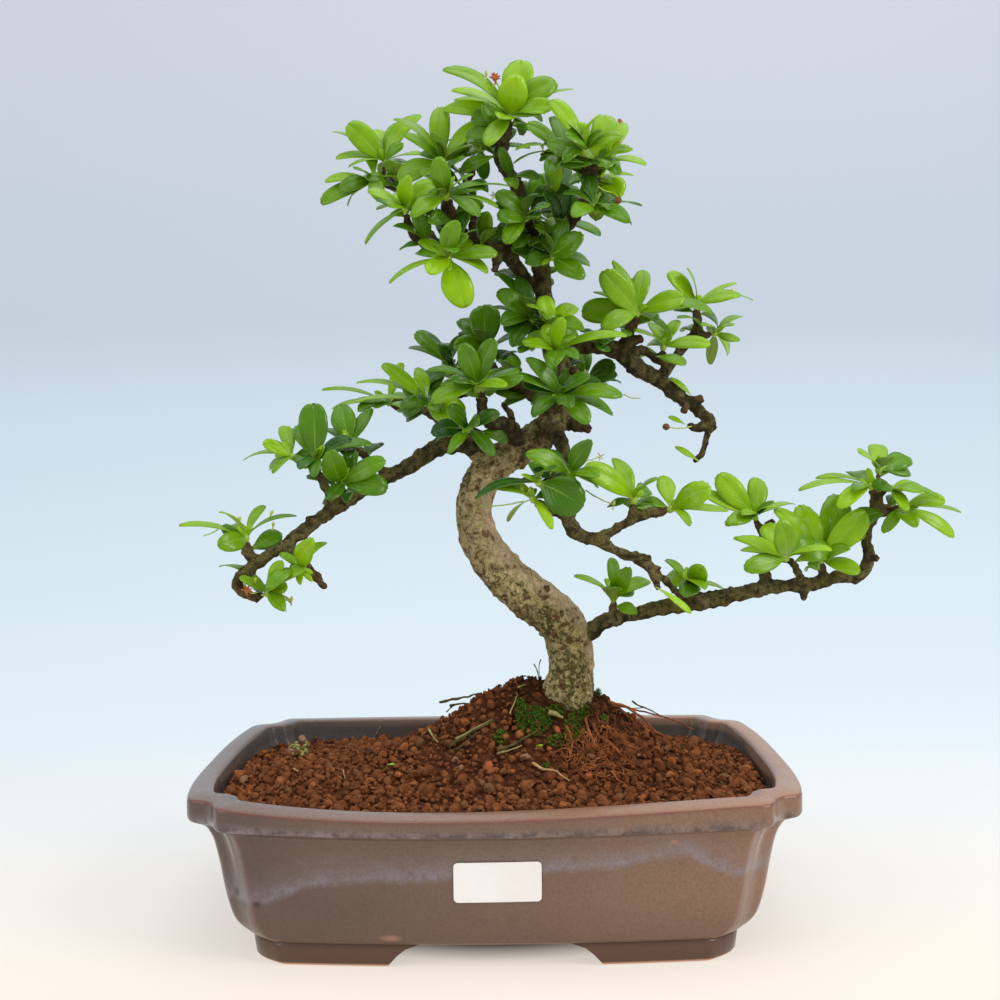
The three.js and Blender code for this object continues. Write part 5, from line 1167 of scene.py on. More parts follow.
def make_spurs():
    """Tufts of small leaves on the branches themselves, inside the crown."""
    draw = random_source(SEEDS["spurs"])
    shape = Shape()
    for kind, route in LIMBS:
        if kind not in ("trunk", "branch"):
            continue
        line = [on_tree(row) for row in route]
        length = sum(float(np.linalg.norm(b - a)) for a, b in zip(line, line[1:]))
        for k in range(int(length / 8)):
            t = (k + draw()) * 8 / length
            at = curve_point(line, min(t, 1.0))
            x, z = flat_place(at)
            inside = any(left < x < right and low < z < high for left, right, low, high in SPUR_ZONES)
            if not inside or draw() < 0.4:
                continue
            radius = float(np.interp(t * (len(route) - 1), np.arange(len(route)), [row[3] for row in route]))
            turn = draw() * FULL_TURN
            out = unit(np.array([math.cos(turn), math.sin(turn) - 0.2, 0.9 * draw() - 0.1]))
            for _ in range(3):
                way = unit(out + 1.5 * np.array([draw() - 0.5, draw() - 0.5, draw() - 0.4]))
                # Their darkness, 0.35 to 0.95, is partly their own green and partly painted shade inside the
                # crown.
                small_leaf(shape, at + out * radius * 0.9, way, draw, 0.35 + 0.6 * draw())
    piece = shape.build("spur_foliage", LEAF.material, True, "leaf")


def make_shoot(name, seed):
    ends = [on_tree(row) for row in TWIGS[name][-2:]]
    along = unit(ends[1] - ends[0])
    root = ends[1] + along * (GAP + BUD_HALF_LENGTH)
    tree = search_tree(points_of(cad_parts[name + "_leaves"].data))
    arch_draw = random_source(seed)
    draw = random_source(seed + 5000)
    shape = Shape()
    missing = 0
    for x, z, depth, facing, width in leaf_rows(name, root, seed + 1000):
        arch = 0.05 + 0.1 * arch_draw()
        flat = float(np.linalg.norm(seen(x, z, root[1]) - root))
        hidden = math.sqrt(max(0.0, LEAF_LENGTH ** 2 - flat ** 2))
        lean = math.copysign(max(abs(depth), LEAF_LEAN * hidden), depth or 1)

        def ends_at(swing):
            tip = seen(x, z, root[1] + lean + swing)
            return root + unit(tip - root) * LEAF_START, tip

        def corners_of(swing):
            start, tip = ends_at(swing)
            return cad_outline(start, tip, facing, width, arch)

        swing, found = find_swing(corners_of, tree)
        if swing is None or found < 3:
            missing += 1
            continue
        start, tip = ends_at(swing)
        tone_and_painted_shade = min(1, max(0, SHOOT_TONE_AND_PAINTED_SHADE.get(name, 0.2) + 0.5 * (draw() - 0.5)))
        leaf_shape(shape, start - unit(tip - root) * 1.2, tip, facing, width, arch, draw, tone_and_painted_shade)
    twig = [on_tree(row) for row in TWIGS[name]]
    filling_leaves(shape, name, root, twig, draw, SHOOT_TONE_AND_PAINTED_SHADE.get(name, 0.2))
    side = unit(np.cross(along, np.array([0.2, 1.0, 0.1])))
    other = np.cross(along, side)
    for k in range(3):
        turn = draw() * FULL_TURN
        lean = 0.5 + 0.5 * draw()
        way = unit(along + (side * math.cos(turn) + other * math.sin(turn)) * lean + np.array([0, 0, 0.3]))
        tip = root + way * (5 + 5 * draw())
        leaf_shape(shape, root - way * 0.6, tip, 0.5, 2.6 + 1.6 * draw(), 0.05, draw, 0.05, 0.3, SMALL_LEAF)
    bud = np.array([root - along * 2.1, root - along * 1.2, root, root + along * 1.4, root + along * 2.3])
    points, faces = sweep(bud, [0.9, 1.5, 1.7, 1.1, 0.3], 9)
    shape.add(points, faces, (0.1, 0.6, 0.5, 0.1))
    piece = shape.build(name + "_foliage", LEAF.material, True, "leaf")
    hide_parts(name + "_leaves")
    return missing


lost = sum(make_shoot(name, SEEDS["shoots"] + i) for i, name in enumerate(SHOOTS))
print("leaves not found on their solids:", lost)
make_spurs()

# Pot

POT_HALF_WIDTH, POT_HALF_DEPTH = 130, 98
RIM_SAG_FRONT, RIM_SAG_BACK, RIM_SAG_LEAN, RIM_SAG_SHORT = 3.5, 1.0, 0.7, 1.5
SHORT_SIDE_END, SHORT_SIDE_BOW, SHORT_SIDE_ROUND = 71, 6, 2.8
LONG_SIDE_END, LONG_SIDE_BOW, FOOT_SIDE_BOW = 112.5, 8, 4.7
FLOOR_TOP = 14
DRAIN_X, DRAIN_RADIUS = 45, 9
FOOT_END_X, FOOT_END_Y = 45, 36
NOTCH = [(130, 71), (127.4, 75), (121.2, 77.6), (117.4, 81.6), (115.4, 86.4), (112.5, 90)]
PLAIN_CORNER = [(130, 71), (129.4, 77.2), (127.3, 82), (123.5, 86.3), (118.6, 90), (112.5, 93.3)]


def rounded_line(points, steps):
    """A curve through the points, with its first and last point kept."""
    points = [np.array(p, float) for p in points]
    count = steps * (len(points) - 1)
    return [curve_point(points, i / count) for i in range(count + 1)]


def short_side(y):
    return POT_HALF_WIDTH + SHORT_SIDE_BOW * (1 - np.abs(y / SHORT_SIDE_END) ** SHORT_SIDE_ROUND)


def long_side(x, plain):
    bow = LONG_SIDE_BOW + (FOOT_SIDE_BOW - LONG_SIDE_BOW) * plain
    return POT_HALF_DEPTH - bow * (x / LONG_SIDE_END) ** 2


def fine_plan(plain):
    """The pot's plan, all round, with its corners from notched (0) to plain (1) as smooth curves."""
    corner = [np.array(a) * (1 - plain) + np.array(b) * plain for a, b in zip(NOTCH, PLAIN_CORNER)]
    near = [(short_side(58.0), 58.0)] + corner + [(96.0, long_side(96.0, plain))]
    quarter = [(short_side(y), y) for y in np.linspace(0, SHORT_SIDE_END, 12)[:-1]]
    quarter += [tuple(p) for p in rounded_line(near, 6)[6:-6]]
    quarter += [(x, long_side(x, plain)) for x in np.linspace(LONG_SIDE_END, 0, 24)[1:]]
    quarter = np.array(quarter)
    back, mirrored = quarter[:-1], quarter[1:][::-1]
    whole = np.vstack([back, mirrored * (-1, 1), back * (-1, -1), mirrored * (1, -1)])
    keep = [i for i in range(len(whole)) if np.linalg.norm(whole[i] - whole[i - 1]) > 1e-6]
    return whole[keep]


RIM_PLAN = fine_plan(0)


def rim_sag(x, y):
    """How far the rim hangs below its corners."""
    along_x = np.clip(x / LONG_SIDE_END, -1, 1)
    along_y = np.minimum(1, np.abs(y) / SHORT_SIDE_END)
    long = np.where(y < 0, RIM_SAG_FRONT * (1 - RIM_SAG_LEAN * along_x), RIM_SAG_BACK)
    return long * (1 - along_x ** 2) + RIM_SAG_SHORT * (1 - along_y ** 2)


def level(z, inset_x, inset_y, sagging=0.0, plain=0.0):
    x, y = fine_plan(plain).T
    return np.stack([
        x * (POT_HALF_WIDTH - inset_x) / POT_HALF_WIDTH,
        y * (POT_HALF_DEPTH - inset_y) / POT_HALF_DEPTH,
        z - sagging * rim_sag(x, y),
    ], axis=1)


def loft(rows):
    """Rings from the bottom up, closed by flat fans."""
    rings = [level(*row) for row in rows]
    points = np.vstack(rings + [rings[0].mean(0)[None], rings[-1].mean(0)[None]])
    return points, ring_faces(len(rings), len(RIM_PLAN))


# The outer wall: height, inset at the short sides, inset at the long sides, share of the sag, plainness.
WALL = [
    (9.8, 24.5, 9.6, 0, 0.85), (12.4, 20.6, 8.6, 0, 0.65), (15.6, 18, 7.9, 0, 0.5), (25, 15, 6.9, 0, 0.35),
    (40, 12.2, 6.2, 0.1, 0.3), (50, 9.7, 5.4, 0.2, 0.3), (54.3, 7.2, 4.8, 0.29, 0.24),
]
WALL_BOTTOM = (9.3, 26.0, 10.5, 0, 0.88)
LIP = [
    (55.6, 5.6, 4.0, 0.3, 0.18), (56.3, 3.9, 3.0, 0.3, 0.12), (56.9, 2.1, 1.7, 0.3, 0.06),
    (57.5, 0.8, 0.7, 0.3, 0.02), (58.4, 0.2, 0.2, 0.36, 0), (60.0, 0, 0, 0.5, 0), (62.5, 0, 0, 0.75, 0),
    (65.0, 0, 0, 0.95, 0), (66.1, 0.1, 0.1, 1, 0), (66.7, 0.35, 0.35, 1, 0), (67.1, 0.8, 0.8, 1, 0),
    (67.3, 1.5, 1.5, 1, 0), (67.45, 2.6, 2.9, 1, 0), (67.75, 5, 5.9, 1, 0), (68.2, 10, 12, 1, 0),
]


def fine_wall():
    return [WALL_BOTTOM] + [tuple(p) for p in rounded_line(WALL, 5)[1:]] + LIP


def solid(name, points, faces):
    shape = Shape()
    shape.add(points, faces)
    return shape.build(name, GLAZE.material)


def carve(piece, tool, operation):
    cut = piece.modifiers.new("carve", "BOOLEAN")
    cut.object = tool
    cut.operation = operation
    cut.solver = "EXACT"
    applied(piece)
    bpy.data.objects.remove(tool)


def prism(outline, depth, turn):
    """A block through the pot, from (sideways, height) points, run along Y and turned about Z."""
    half = depth / 2
    points = [(x, -half, z) for x, z in outline] + [(x, half, z) for x, z in outline]
    count = len(outline)
    faces = [tuple(range(count))[::-1], tuple(range(count, 2 * count))]
    faces += [(i, (i + 1) % count, count + (i + 1) % count, count + i) for i in range(count)]
    turned = np.array(Matrix.Rotation(turn, 3, "Z"))
    return np.array(points) @ turned.T, [f[::-1] for f in faces]


def tunnel_outline(half):
    """The opening between two feet: sloped ends under a shallow arch."""
    end = [(0, -2), (1.2, 1.0), (4.5, 4.6), (8.0, 7.4), (13.0, 9.0), (26.0, FOOT_GAP_TOP)]
    return [(-half, -2)] + [(half - x, z) for x, z in end] + [(x - half, z) for x, z in end[:0:-1]]


# The feet, the hollow inside them and the pot's cavity, in the same columns as the wall.
FEET = [
    (0.0, 28.9, 11.3, 0, 1), (0.5, 28.2, 10.8, 0, 1), (1.2, 27.7, 10.5, 0, 1), (7.4, 26.9, 10.1, 0, 1),
    (8.6, 27.3, 10.5, 0, 1), (9.5, 28.0, 11.0, 0, 1), (10.8, 28.3, 11.2, 0, 1),
]
BETWEEN_FEET = [(-1, 41, 24, 0, 1), (9.2, 40.4, 23.6, 0, 1), (13, 40.4, 23.6, 0, 1)]
CAVITY = [
    (FLOOR_TOP, 32, 23, 0), (14.6, 30.5, 21.4, 0), (16, 29.6, 20.6, 0), (24, 24, 17.5, 0),
    (38, 20, 16.2, 0), (50, 17, 15.5, 0), (56, 13.8, 14.2, 0.4), (60.5, 11.4, 13.3, 0.8),
    (62.0, 11.0, 13.1, 0.88), (63.2, 10.7, 12.9, 0.95), (64.4, 10.3, 12.7, 1), (66.4, 9.9, 12.3, 1),
    (67.4, 9.6, 12.0, 1), (67.85, 9.0, 11.4, 1), (68.15, 8.0, 10.4, 1), (80, 8.0, 10.4, 1),
]
FOOT_GAP_TOP = 11.2


def shape_pot():
    """Wall and feet as one body, hollowed out and drilled."""
    pot = solid("pot_glazed", *loft(fine_wall()))
    feet = solid("feet", *loft(FEET))
    carve(feet, solid("inner", *loft(BETWEEN_FEET)), "DIFFERENCE")
    carve(feet, solid("long_gap", *prism(tunnel_outline(FOOT_END_X), 300, 0)), "DIFFERENCE")
    carve(feet, solid("short_gap", *prism(tunnel_outline(FOOT_END_Y), 330, math.pi / 2)), "DIFFERENCE")
    carve(pot, feet, "UNION")
    carve(pot, solid("cavity", *loft(CAVITY)), "DIFFERENCE")
    for x in (-DRAIN_X, DRAIN_X):
        centres = [(x, 0, z) for z in (-2.0, 4.0, 10.0, 16.0)]
        carve(pot, solid("drain", *sweep(centres, [DRAIN_RADIUS] * 4, 40)), "DIFFERENCE")
    return pot


def wall_lines(rows, places):
    """Points up the wall at these places of the plan, in all four corners."""
    found = []
    for row in rows:
        ring = level(*row)
        for x, y in places:
            for sx in (-1, 1):
                for sy in (-1, 1):
                    far = np.hypot(RIM_PLAN[:, 0] - sx * x, RIM_PLAN[:, 1] - sy * y)
                    found.append(ring[int(np.argmin(far))])
    return np.array(found)


def make_pot():
    pot = shape_pot()
    mesh = pot.data
    points = points_of(mesh) * 1000 - SHIFT
    normals = normals_of(mesh)
    x, y, height = points.T
    outward = x * normals[:, 0] / 130 + y * normals[:, 1] / 98
    outer, inner = outward > 0, outward < 0.05
    ring_share = np.maximum(np.abs(x) / 124.5, np.abs(y) / 88.0)
    low = height + 0.3 * rim_sag(x, y)
    # Edges where the glaze ran thin, the inside, bare clay and the foot of the lip.
    outer_edge = nearest_distance(points, densified(level(66.75, 0.4, 0.4, 1)))
    inner_edge = nearest_distance(points, densified(level(68.0, 9.0, 11.3, 1)))
    lip_edge = np.maximum(bell(outer_edge, 0, 0.62), 0.35 * bell(inner_edge, 0, 0.8))
    rib = nearest_distance(points, wall_lines(fine_wall()[:-6], ((114.0, 88.9), (129.2, 73.2))))
    rib_edge = 0.4 * bell(rib, 0, 1.3) * outer
    inside = (height < 63.5) & (height > 13) & (normals[:, 2] > -0.6) & inner & (ring_share < 1.0)
    under = (height < 10.5) & (normals[:, 2] < -0.6)
    clay = np.maximum(np.where(height < 0.9, 1.0, 0.0), np.where(under, 0.35, 0.0))
    lip = smooth_step(56.6, 57.6, low) * (1 - smooth_step(58.4, 61.5, low)) * outer
    store_values(mesh, "glaze", np.stack([np.maximum(lip_edge, rib_edge), inside, clay, lip], axis=1))
    # The rim's top, the painted highlight in the channels beside the corners, the painted shade lines (under
    # the lip, over the feet and under the rim inside) and the feet.
    crown = (normals[:, 2] > 0.8) & (low > 62) & (ring_share > 0.9)
    # Painted highlight: a pale line down the middle of each corner channel.
    painted_channel_highlight = nearest_distance(points, wall_lines(fine_wall()[:-10], ((118.6, 80),)))
    painted_channel_highlight = bell(painted_channel_highlight, 0, 1.1) * outer * smooth_step(30, 50, low)
    # Painted shade: dark lines over the feet and under the lip, and a shadow line under the rim inside.
    painted_shade_lines = np.maximum(bell(height, 9.7, 0.55), 0.55 * bell(low, 56.3, 0.6)) * outer
    painted_shadow_under_rim = bell(low, 62.6, 1.5) * inner * (ring_share < 1.0)
    foot = (height < 9.6) & outer
    store_values(mesh, "rim", np.stack([crown, painted_channel_highlight, np.maximum(painted_shade_lines, painted_shadow_under_rim), foot], axis=1))
    shade_by_angle(mesh, 38)
    dress(mesh, GLAZE.material)
    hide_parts("pot")


def densified(ring, steps=6):
    following = np.roll(ring, -1, axis=0)
    return np.vstack([ring + (following - ring) * k / steps for k in range(steps)])


def nearest_distance(points, targets):
    tree = search_tree(targets)
    return np.array([tree.find(Vector(p))[2] for p in points])


def shade_by_angle(mesh, degrees):
    """Smooth faces, with the edges sharper than this angle kept sharp."""
    made = bmesh.new()
    made.from_mesh(mesh)
    limit = math.radians(degrees)
    for face in made.faces:
        face.smooth = True
    for edge in made.edges:
        edge.smooth = len(edge.link_faces) == 2 and edge.calc_face_angle(0) < limit
    made.to_mesh(mesh)
    made.free()


make_pot()

# Label

LABEL_MIDDLE, LABEL_HALF, LABEL_CORNER, LABEL_TILT = (1.25, 36.85), (17.95, 8.35), 1.7, 0.010
LABEL_FACES = (28, 14)


def front_surface(x, z):
    """How far forward the pot's front wall lies at x and height z."""
    heights, inset_x, inset_y, sag, plain = np.array(WALL).T
    heights = heights - sag * float(rim_sag(x, -POT_HALF_DEPTH))
    inset_x, inset_y, plain = (np.interp(z, heights, column) for column in (inset_x, inset_y, plain))
    plan_x = x * POT_HALF_WIDTH / (POT_HALF_WIDTH - inset_x)
    return -long_side(plan_x, plain) * (POT_HALF_DEPTH - inset_y) / POT_HALF_DEPTH


def make_label():
    """A blank paper label with rounded corners, bent to the pot."""
    columns, rows = LABEL_FACES
    (middle_x, middle_z), (half_x, half_z) = LABEL_MIDDLE, LABEL_HALF
    front, back = [], []
    for j in range(rows + 1):
        for i in range(columns + 1):
            x, z = (2 * i / columns - 1) * half_x, (2 * j / rows - 1) * half_z
            over_x, over_z = abs(x) - (half_x - LABEL_CORNER), abs(z) - (half_z - LABEL_CORNER)
            if over_x > 0 and over_z > 0:
                drawn_in = max(over_x, over_z) / math.hypot(over_x, over_z)
                x = math.copysign(half_x - LABEL_CORNER + over_x * drawn_in, x)
                z = math.copysign(half_z - LABEL_CORNER + over_z * drawn_in, z)
            z = z + middle_z + LABEL_TILT * x
            surface = front_surface(x + middle_x, z)
            front.append((x + middle_x, surface - 0.62, z))
            back.append((x + middle_x, surface - 0.38, z))
    shape = Shape()
    shape.add(front + back, sheet_faces(columns + 1, rows + 1))
    piece = shape.build("label_paper", PAPER.material)
    shade_by_angle(piece.data, 50)
    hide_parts("label")


make_label()
for node in ("drain_screen_left", "drain_screen_right"):
    dress(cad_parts[node].data, NET.material)

# Soil

TRUNK_FOOT = (33.5, 4.0)
HEAP_AT, HEAP_HEIGHT, HEAP_REACH = (0, 8), 8, 25
SOIL_BASE = 16.0


def soil_height(x, y):
    across_x = (x - TRUNK_FOOT[0]) * np.where(x < TRUNK_FOOT[0], 0.6, 1.0)
    across_y = (y - TRUNK_FOOT[1]) * np.where(y < TRUNK_FOOT[1], 1.2, 1.1)
    far = np.hypot(across_x, across_y)
    front = np.clip(-y / 85, -0.6, 1)
    heap = HEAP_HEIGHT * bell(np.hypot(x - HEAP_AT[0], y - HEAP_AT[1]), 0, HEAP_REACH)
    return 59.5 + 3 * front + 44 * np.exp(-((far / 43) ** 1.6)) + heap


def crust(x, y):
    """The mound's own unevenness: low terraces with winding cracks between them."""
    flat = np.stack([x, y, np.zeros_like(x)], axis=-1).reshape(-1, 3)
    rise = 1.1 * noise3(flat, 17.0, 31) + 0.7 * noise3(flat, 7.0, 32)
    crack = bell(noise3(flat, 21.0, 33), 0, 0.11) * smooth_step(-0.1, 0.5, noise3(flat, 30.0, 34))
    dip = bell(flat[:, 0], 42, 9) * bell(flat[:, 1], -13, 9)
    return (rise - 2.4 * crack - 2.5 * dip).reshape(np.shape(x))


def inside_pot(x, y, margin):
    """True where the point lies inside the pot's opening, by the plan scaled to the inner wall."""
    u = np.abs(x) * POT_HALF_WIDTH / (POT_HALF_WIDTH - 12.2 - margin)
    v = np.abs(y) * POT_HALF_DEPTH / (POT_HALF_DEPTH - 13.6 - margin)
    corner = (u > 113.5) & (v > 74) & (u + v > 199.5)
    return (u < short_side(v)) & (v < long_side(u, 0)) & ~corner


def crumb(seed, count):
    """A crumb of clay: a ball with flat places and lumps."""
    draw = random_source(seed)
    k = np.arange(count) + 0.5
    up = 1 - 2 * k / count
    ring = np.sqrt(1 - up ** 2)
    points = np.stack([ring * np.cos(k * GOLDEN_TURN), ring * np.sin(k * GOLDEN_TURN), up], axis=1)
    made = bmesh.new()
    for index, point in enumerate(points):
        made.verts.new(point).index = index
    made.verts.ensure_lookup_table()
    bmesh.ops.convex_hull(made, input=made.verts)
    made.verts.index_update()
    points = np.array([v.co[:] for v in made.verts])
    faces = [tuple(v.index for v in f.verts) for f in made.faces]
    made.free()
    for _ in range(8):
        way = unit(np.array([draw() - 0.5, draw() - 0.5, draw() - 0.5]))
        over = points @ way - (0.6 + 0.28 * draw())
        points = points - np.outer(np.maximum(0, over), way)
    lumps = 0.15 * noise3(points * 10, 8.0, seed) + 0.13 * noise3(points * 10, 4.2, seed + 50)
    points = points * (1 + lumps + 0.06 * noise3(points * 10, 2.4, seed + 90))[:, None]
    return points * np.array([1.06, 0.74 + 0.28 * draw(), 0.66 + 0.22 * draw()]), faces


def turned(draw):
    a, b, c = (draw() * FULL_TURN for _ in range(3))
    spin = Matrix.Rotation(a, 3, "X") @ Matrix.Rotation(b, 3, "Y") @ Matrix.Rotation(c, 3, "Z")
    return np.array(spin)


def soil_bed():
    """The soil's body under the grains: a crumbly surface, closed below."""
    xs, ys = np.arange(-129, 129.1, 1.7), np.arange(-92, 92.1, 1.7)
    gx, gy = np.meshgrid(xs, ys)
    shrink = np.ones_like(gx)
    for _ in range(60):
        outside = ~inside_pot(gx * shrink, gy * shrink, 0.8)
        shrink = np.where(outside, shrink - 0.008, shrink)
    x, y = (gx * shrink).ravel(), (gy * shrink).ravel()
    draw = random_source(SEEDS["bed"])
    pack = 4.3
    cells = [(i, j) for j in range(int(184 / pack)) for i in range(int(258 / pack))]
    tree = search_tree([(-129 + pack * (i + draw()), -92 + pack * (j + draw()), 0) for i, j in cells])
    gap = np.array([tree.find(place)[2] for place in zip(x, y, np.zeros(x.size))])
    lump = np.sqrt(np.maximum(0, 1 - (gap / 3.1) ** 2))
    flat = np.stack([x, y, np.zeros(x.size)], axis=1)
    fine = smooth_step(46, 22, np.hypot(x - TRUNK_FOOT[0], y - TRUNK_FOOT[1]))
    top = soil_height(x, y) + crust(x, y) - 2.9 + (2.1 - 1.2 * fine) * lump
    top += 0.45 * noise3(flat, 1.9, 22) + 0.5 * fine * noise3(flat, 3.0, 23) + 0.9 * fine
    upper = np.stack([x, y, top], axis=1)
    count, columns = len(upper), len(xs)
    edge = grid_edge(columns, len(ys))
    lower = upper[[a for a, _ in edge]] * (0.86, 0.86, 0) + (0, 0, SOIL_BASE)
    middle = len(lower)
    faces = grid_faces(columns, len(ys))
    for k, (a, b) in enumerate(edge):
        here, following = count + k, count + (k + 1) % middle
        faces += [(a, here, following, b), (following, here, count + middle)]
    values = np.zeros((count + middle + 1, 4))
    values[:, 0] = 0.35
    values[:, 1] = 0.5
    # Painted shade in the gaps between the bed's lumps.
    values[:count, 2] = 0.95 - 0.5 * lump
    values[:count, 3] = fine * 0.8
    shape = Shape()
    shape.add(np.vstack([upper, lower, [[0, 0, SOIL_BASE]]]), faces, values)
    return shape.build("soil_bed", SOIL.material, True, "grain")


# How many tries, the smallest and largest radius, how far above the mound and how close together.
GRAIN_LAYERS = [(3000, 2.4, 3.6, -2.1, 0.74), (6000, 2.0, 4.1, -0.4, 0.72), (5200, 0.8, 1.7, 0.2, 0.8)]

CELL = 4.0


def ground(x, y):
    return soil_height(x, y) + crust(np.array(x), np.array(y))


def crowded(placed, layer, x, y, size, close):
    """True where another grain of the layer lies too near; if not, the place is taken."""
    column, row = int(x // CELL), int(y // CELL)
    for i in (-1, 0, 1):
        for j in (-1, 0, 1):
            for other_x, other_y, other in placed.get((column + i, row + j, layer), []):
                if math.hypot(x - other_x, y - other_y) < close * (size + other):
                    return True
    placed.setdefault((column, row, layer), []).append((x, y, size))
    return False


def make_soil():
    bed = soil_bed()
    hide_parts("soil")
    fine = [crumb(900 + k, 64) for k in range(12)]
    plain = [crumb(930 + k, 32) for k in range(10)]
    tiny = [crumb(950 + k, 20) for k in range(8)]
    draw = random_source(SEEDS["grains"])
    placed = {}
    shapes = [Shape(), Shape(), Shape()]
    made = 0
    for layer, (tries, low, high, lift, close) in enumerate(GRAIN_LAYERS):
        for _ in range(tries):
            x = -124 + 248 * draw()
            y = -88 + 176 * draw()
            size = low + (high - low) * draw() ** 1.5
            distance = math.hypot(x - TRUNK_FOOT[0], y - TRUNK_FOOT[1])
            if x < 40 and distance < 75 and y > -45:
                size *= 0.55 + 0.45 * distance / 75
            if not inside_pot(x, y, size * 0.7) or distance < 12.5 + size:
                continue
            if crowded(placed, layer, x, y, size, close):
                continue
            kinds = (plain, fine if y < 25 else plain, tiny)[layer]
            points, faces = kinds[int(draw() * len(kinds))]
            z = float(ground(x, y)) + lift + 0.7 * (draw() - 0.5) * size - 0.35 * size
            spun = (points * size) @ turned(draw).T
            # Painted shade: the lower side of each grain is darker, and every grain of the lowest layer is
            # at least 0.35 dark.
            painted_shade_deep = np.clip(0.25 - spun[:, 2] / size, 0, 1) * (0.8 if layer else 1.0)
            mould = 0.85 * smooth_step(40, 22, distance) if x > 12 else 0.6 * smooth_step(30, 18, distance)
            values = np.zeros((len(points), 4))
            values[:, 0] = 0.1 + 0.8 * draw()
            values[:, 1] = draw()
            values[:, 2] = np.maximum(painted_shade_deep, 0.0 if layer else 0.35)
            values[:, 3] = mould
            shapes[layer if layer < 2 else made % 2 * 2].add(spun + np.array([x, y, z]), faces, values)
            made += 1
    for k, shape in enumerate(shapes):
        piece = shape.build("soil_grains_" + "abc"[k], SOIL.material, True, "grain")
        shade_by_angle(piece.data, 34)
    print("grains:", made)


make_soil()

# Small things on the soil and in the tree

CAMERA_PITCH, CAMERA_YAW, CAMERA_ROLL = 0.041, 0.004, -0.010
FOCAL_PIXELS, FRAME_PIXELS, SENSOR = 1313.7, 1000, 36.0


def camera_turn():
    forward = Matrix.Rotation(math.pi / 2 - CAMERA_PITCH, 3, "X")
    return Matrix.Rotation(CAMERA_YAW, 3, "Z") @ forward @ Matrix.Rotation(CAMERA_ROLL, 3, "Z")


LOOK = np.array(camera_turn())
REACHES = np.arange(500, 760, 0.7)
MOST_DEPTH_STEP = 22


def spot(u, v, depth=None):
    """Where the camera's line through a picture point meets the soil, or the plane at this depth."""
    way = unit(LOOK @ np.array([(u - 500) / FOCAL_PIXELS, (500 - v) / FOCAL_PIXELS, -1.0]))
    if depth is not None:
        return EYE + way * (depth - EYE[1]) / way[1]
    points = EYE + np.outer(REACHES, way)
    x, y, z = points.T
    under = (z < ground(x, y)) & inside_pot(x, y, 2.0)
    return points[int(np.argmax(under))] if under.any() else spot(u, v, 0.0)


def lifted(point, height):
    return point + np.array([0, 0, height])


def tube(shape, line, radius, sides=6, end=0.4):
    """A twig or root through the points, thinner at its end."""
    line = [np.array(p, float) for p in line]
    count = 6 * (len(line) - 1)
    centres = np.array([curve_point(line, i / count) for i in range(count + 1)])
    rough = np.stack([noise3(centres, 2.6, 60 + k) for k in range(3)], axis=1)
    centres = centres + rough * min(0.5, radius * 0.7)
    knots = 1 + 0.28 * noise3(centres, 1.5, 66)
    shape.add(*sweep(centres, np.linspace(radius, radius * end, count + 1) * knots, sides))


def ball(shape, at, radius, stretch=(1, 1, 1), along=None, count=36):
    """A small round body, long side along the given way."""
    points, faces = round_body(count)
    points = points * radius * np.array(stretch)
    if along is not None:
        points = points @ np.array(Vector(along).to_track_quat("Z", "Y").to_matrix()).T
    shape.add(points + at, faces)


def round_body(count):
    rings = max(4, int(math.sqrt(count)))
    centres = [(0, 0, -math.cos(math.pi * k / rings)) for k in range(rings + 1)]
    radii = [max(0.02, math.sin(math.pi * k / rings)) for k in range(rings + 1)]
    return sweep(centres, radii, rings + 3)


# Dry sticks, straws and pale roots on the soil: picture points along each, radius, height over the soil.
DARK_STICKS = [
    ([(449, 749), (462, 741), (478, 731), (496, 722)], 0.9, 1.2),
    ([(453, 747), (470, 737), (488, 728)], 0.6, 1.9),
    ([(455, 752), (468, 742), (482, 731)], 0.5, 0.7), ([(499, 754), (516, 746), (538, 733)], 0.8, 1.5),
    ([(619, 709), (625, 715), (630, 722)], 0.5, 0.8),
    ([(376, 739), (381, 727)], 0.4, 1.2), ([(424, 736), (431, 731), (441, 729)], 0.4, 0.6),
]
SKY_STICKS = [
    ([(439, 702), (449, 700), (461, 698), (472, 695), (482, 693)], 0.8),
    ([(450, 706), (460, 704), (471, 703)], 0.7),
    ([(534, 664), (537, 670), (540, 682)], 0.4), ([(541, 659), (539, 667), (540, 680)], 0.3),
    ([(446, 712), (452, 707), (455, 704)], 0.4), ([(632, 701), (640, 706), (652, 711), (662, 716)], 0.45),
]
STRAWS = [
    ([(429, 732), (433, 738), (438, 744)], 0.6, 1.0), ([(510, 719), (514, 709), (518, 699)], 0.35, 2.4),
    ([(518, 690), (522, 688), (526, 687)], 0.4, 1.2), ([(549, 717), (556, 719), (563, 723)], 1.5, 2.2),
    ([(456, 744), (472, 735), (492, 724)], 0.45, 2.3), ([(497, 757), (510, 753), (522, 748)], 0.5, 1.4),
]
PALE_ROOTS = [
    ([(532, 765), (543, 771), (554, 773), (561, 777), (569, 783)], 0.7, 1.0),
    ([(294, 771), (297, 773), (299, 774)], 0.4, 1.2),
    ([(343, 771), (345, 780)], 0.25, 0.6), ([(376, 738), (380, 729)], 0.3, 1.6),
]
SKY_ROOTS = [
    ([(608, 702), (625, 706), (640, 716), (655, 731), (664, 736)], 0.8),
    ([(613, 703), (640, 711), (668, 718), (693, 729)], 0.5),
    ([(611, 705), (630, 708), (645, 708)], 0.35), ([(616, 708), (628, 716), (640, 728)], 0.4),
]
THICK_ROOTS = [
    ([(594, 727), (597, 736), (611, 747), (619, 757)], 1.0, 1.4),
    ([(585, 720), (590, 735), (598, 751)], 0.7, 1.0),
    ([(566, 728), (572, 743), (570, 760)], 0.6, 0.9), ([(604, 724), (616, 738), (634, 747)], 0.6, 1.0),
]
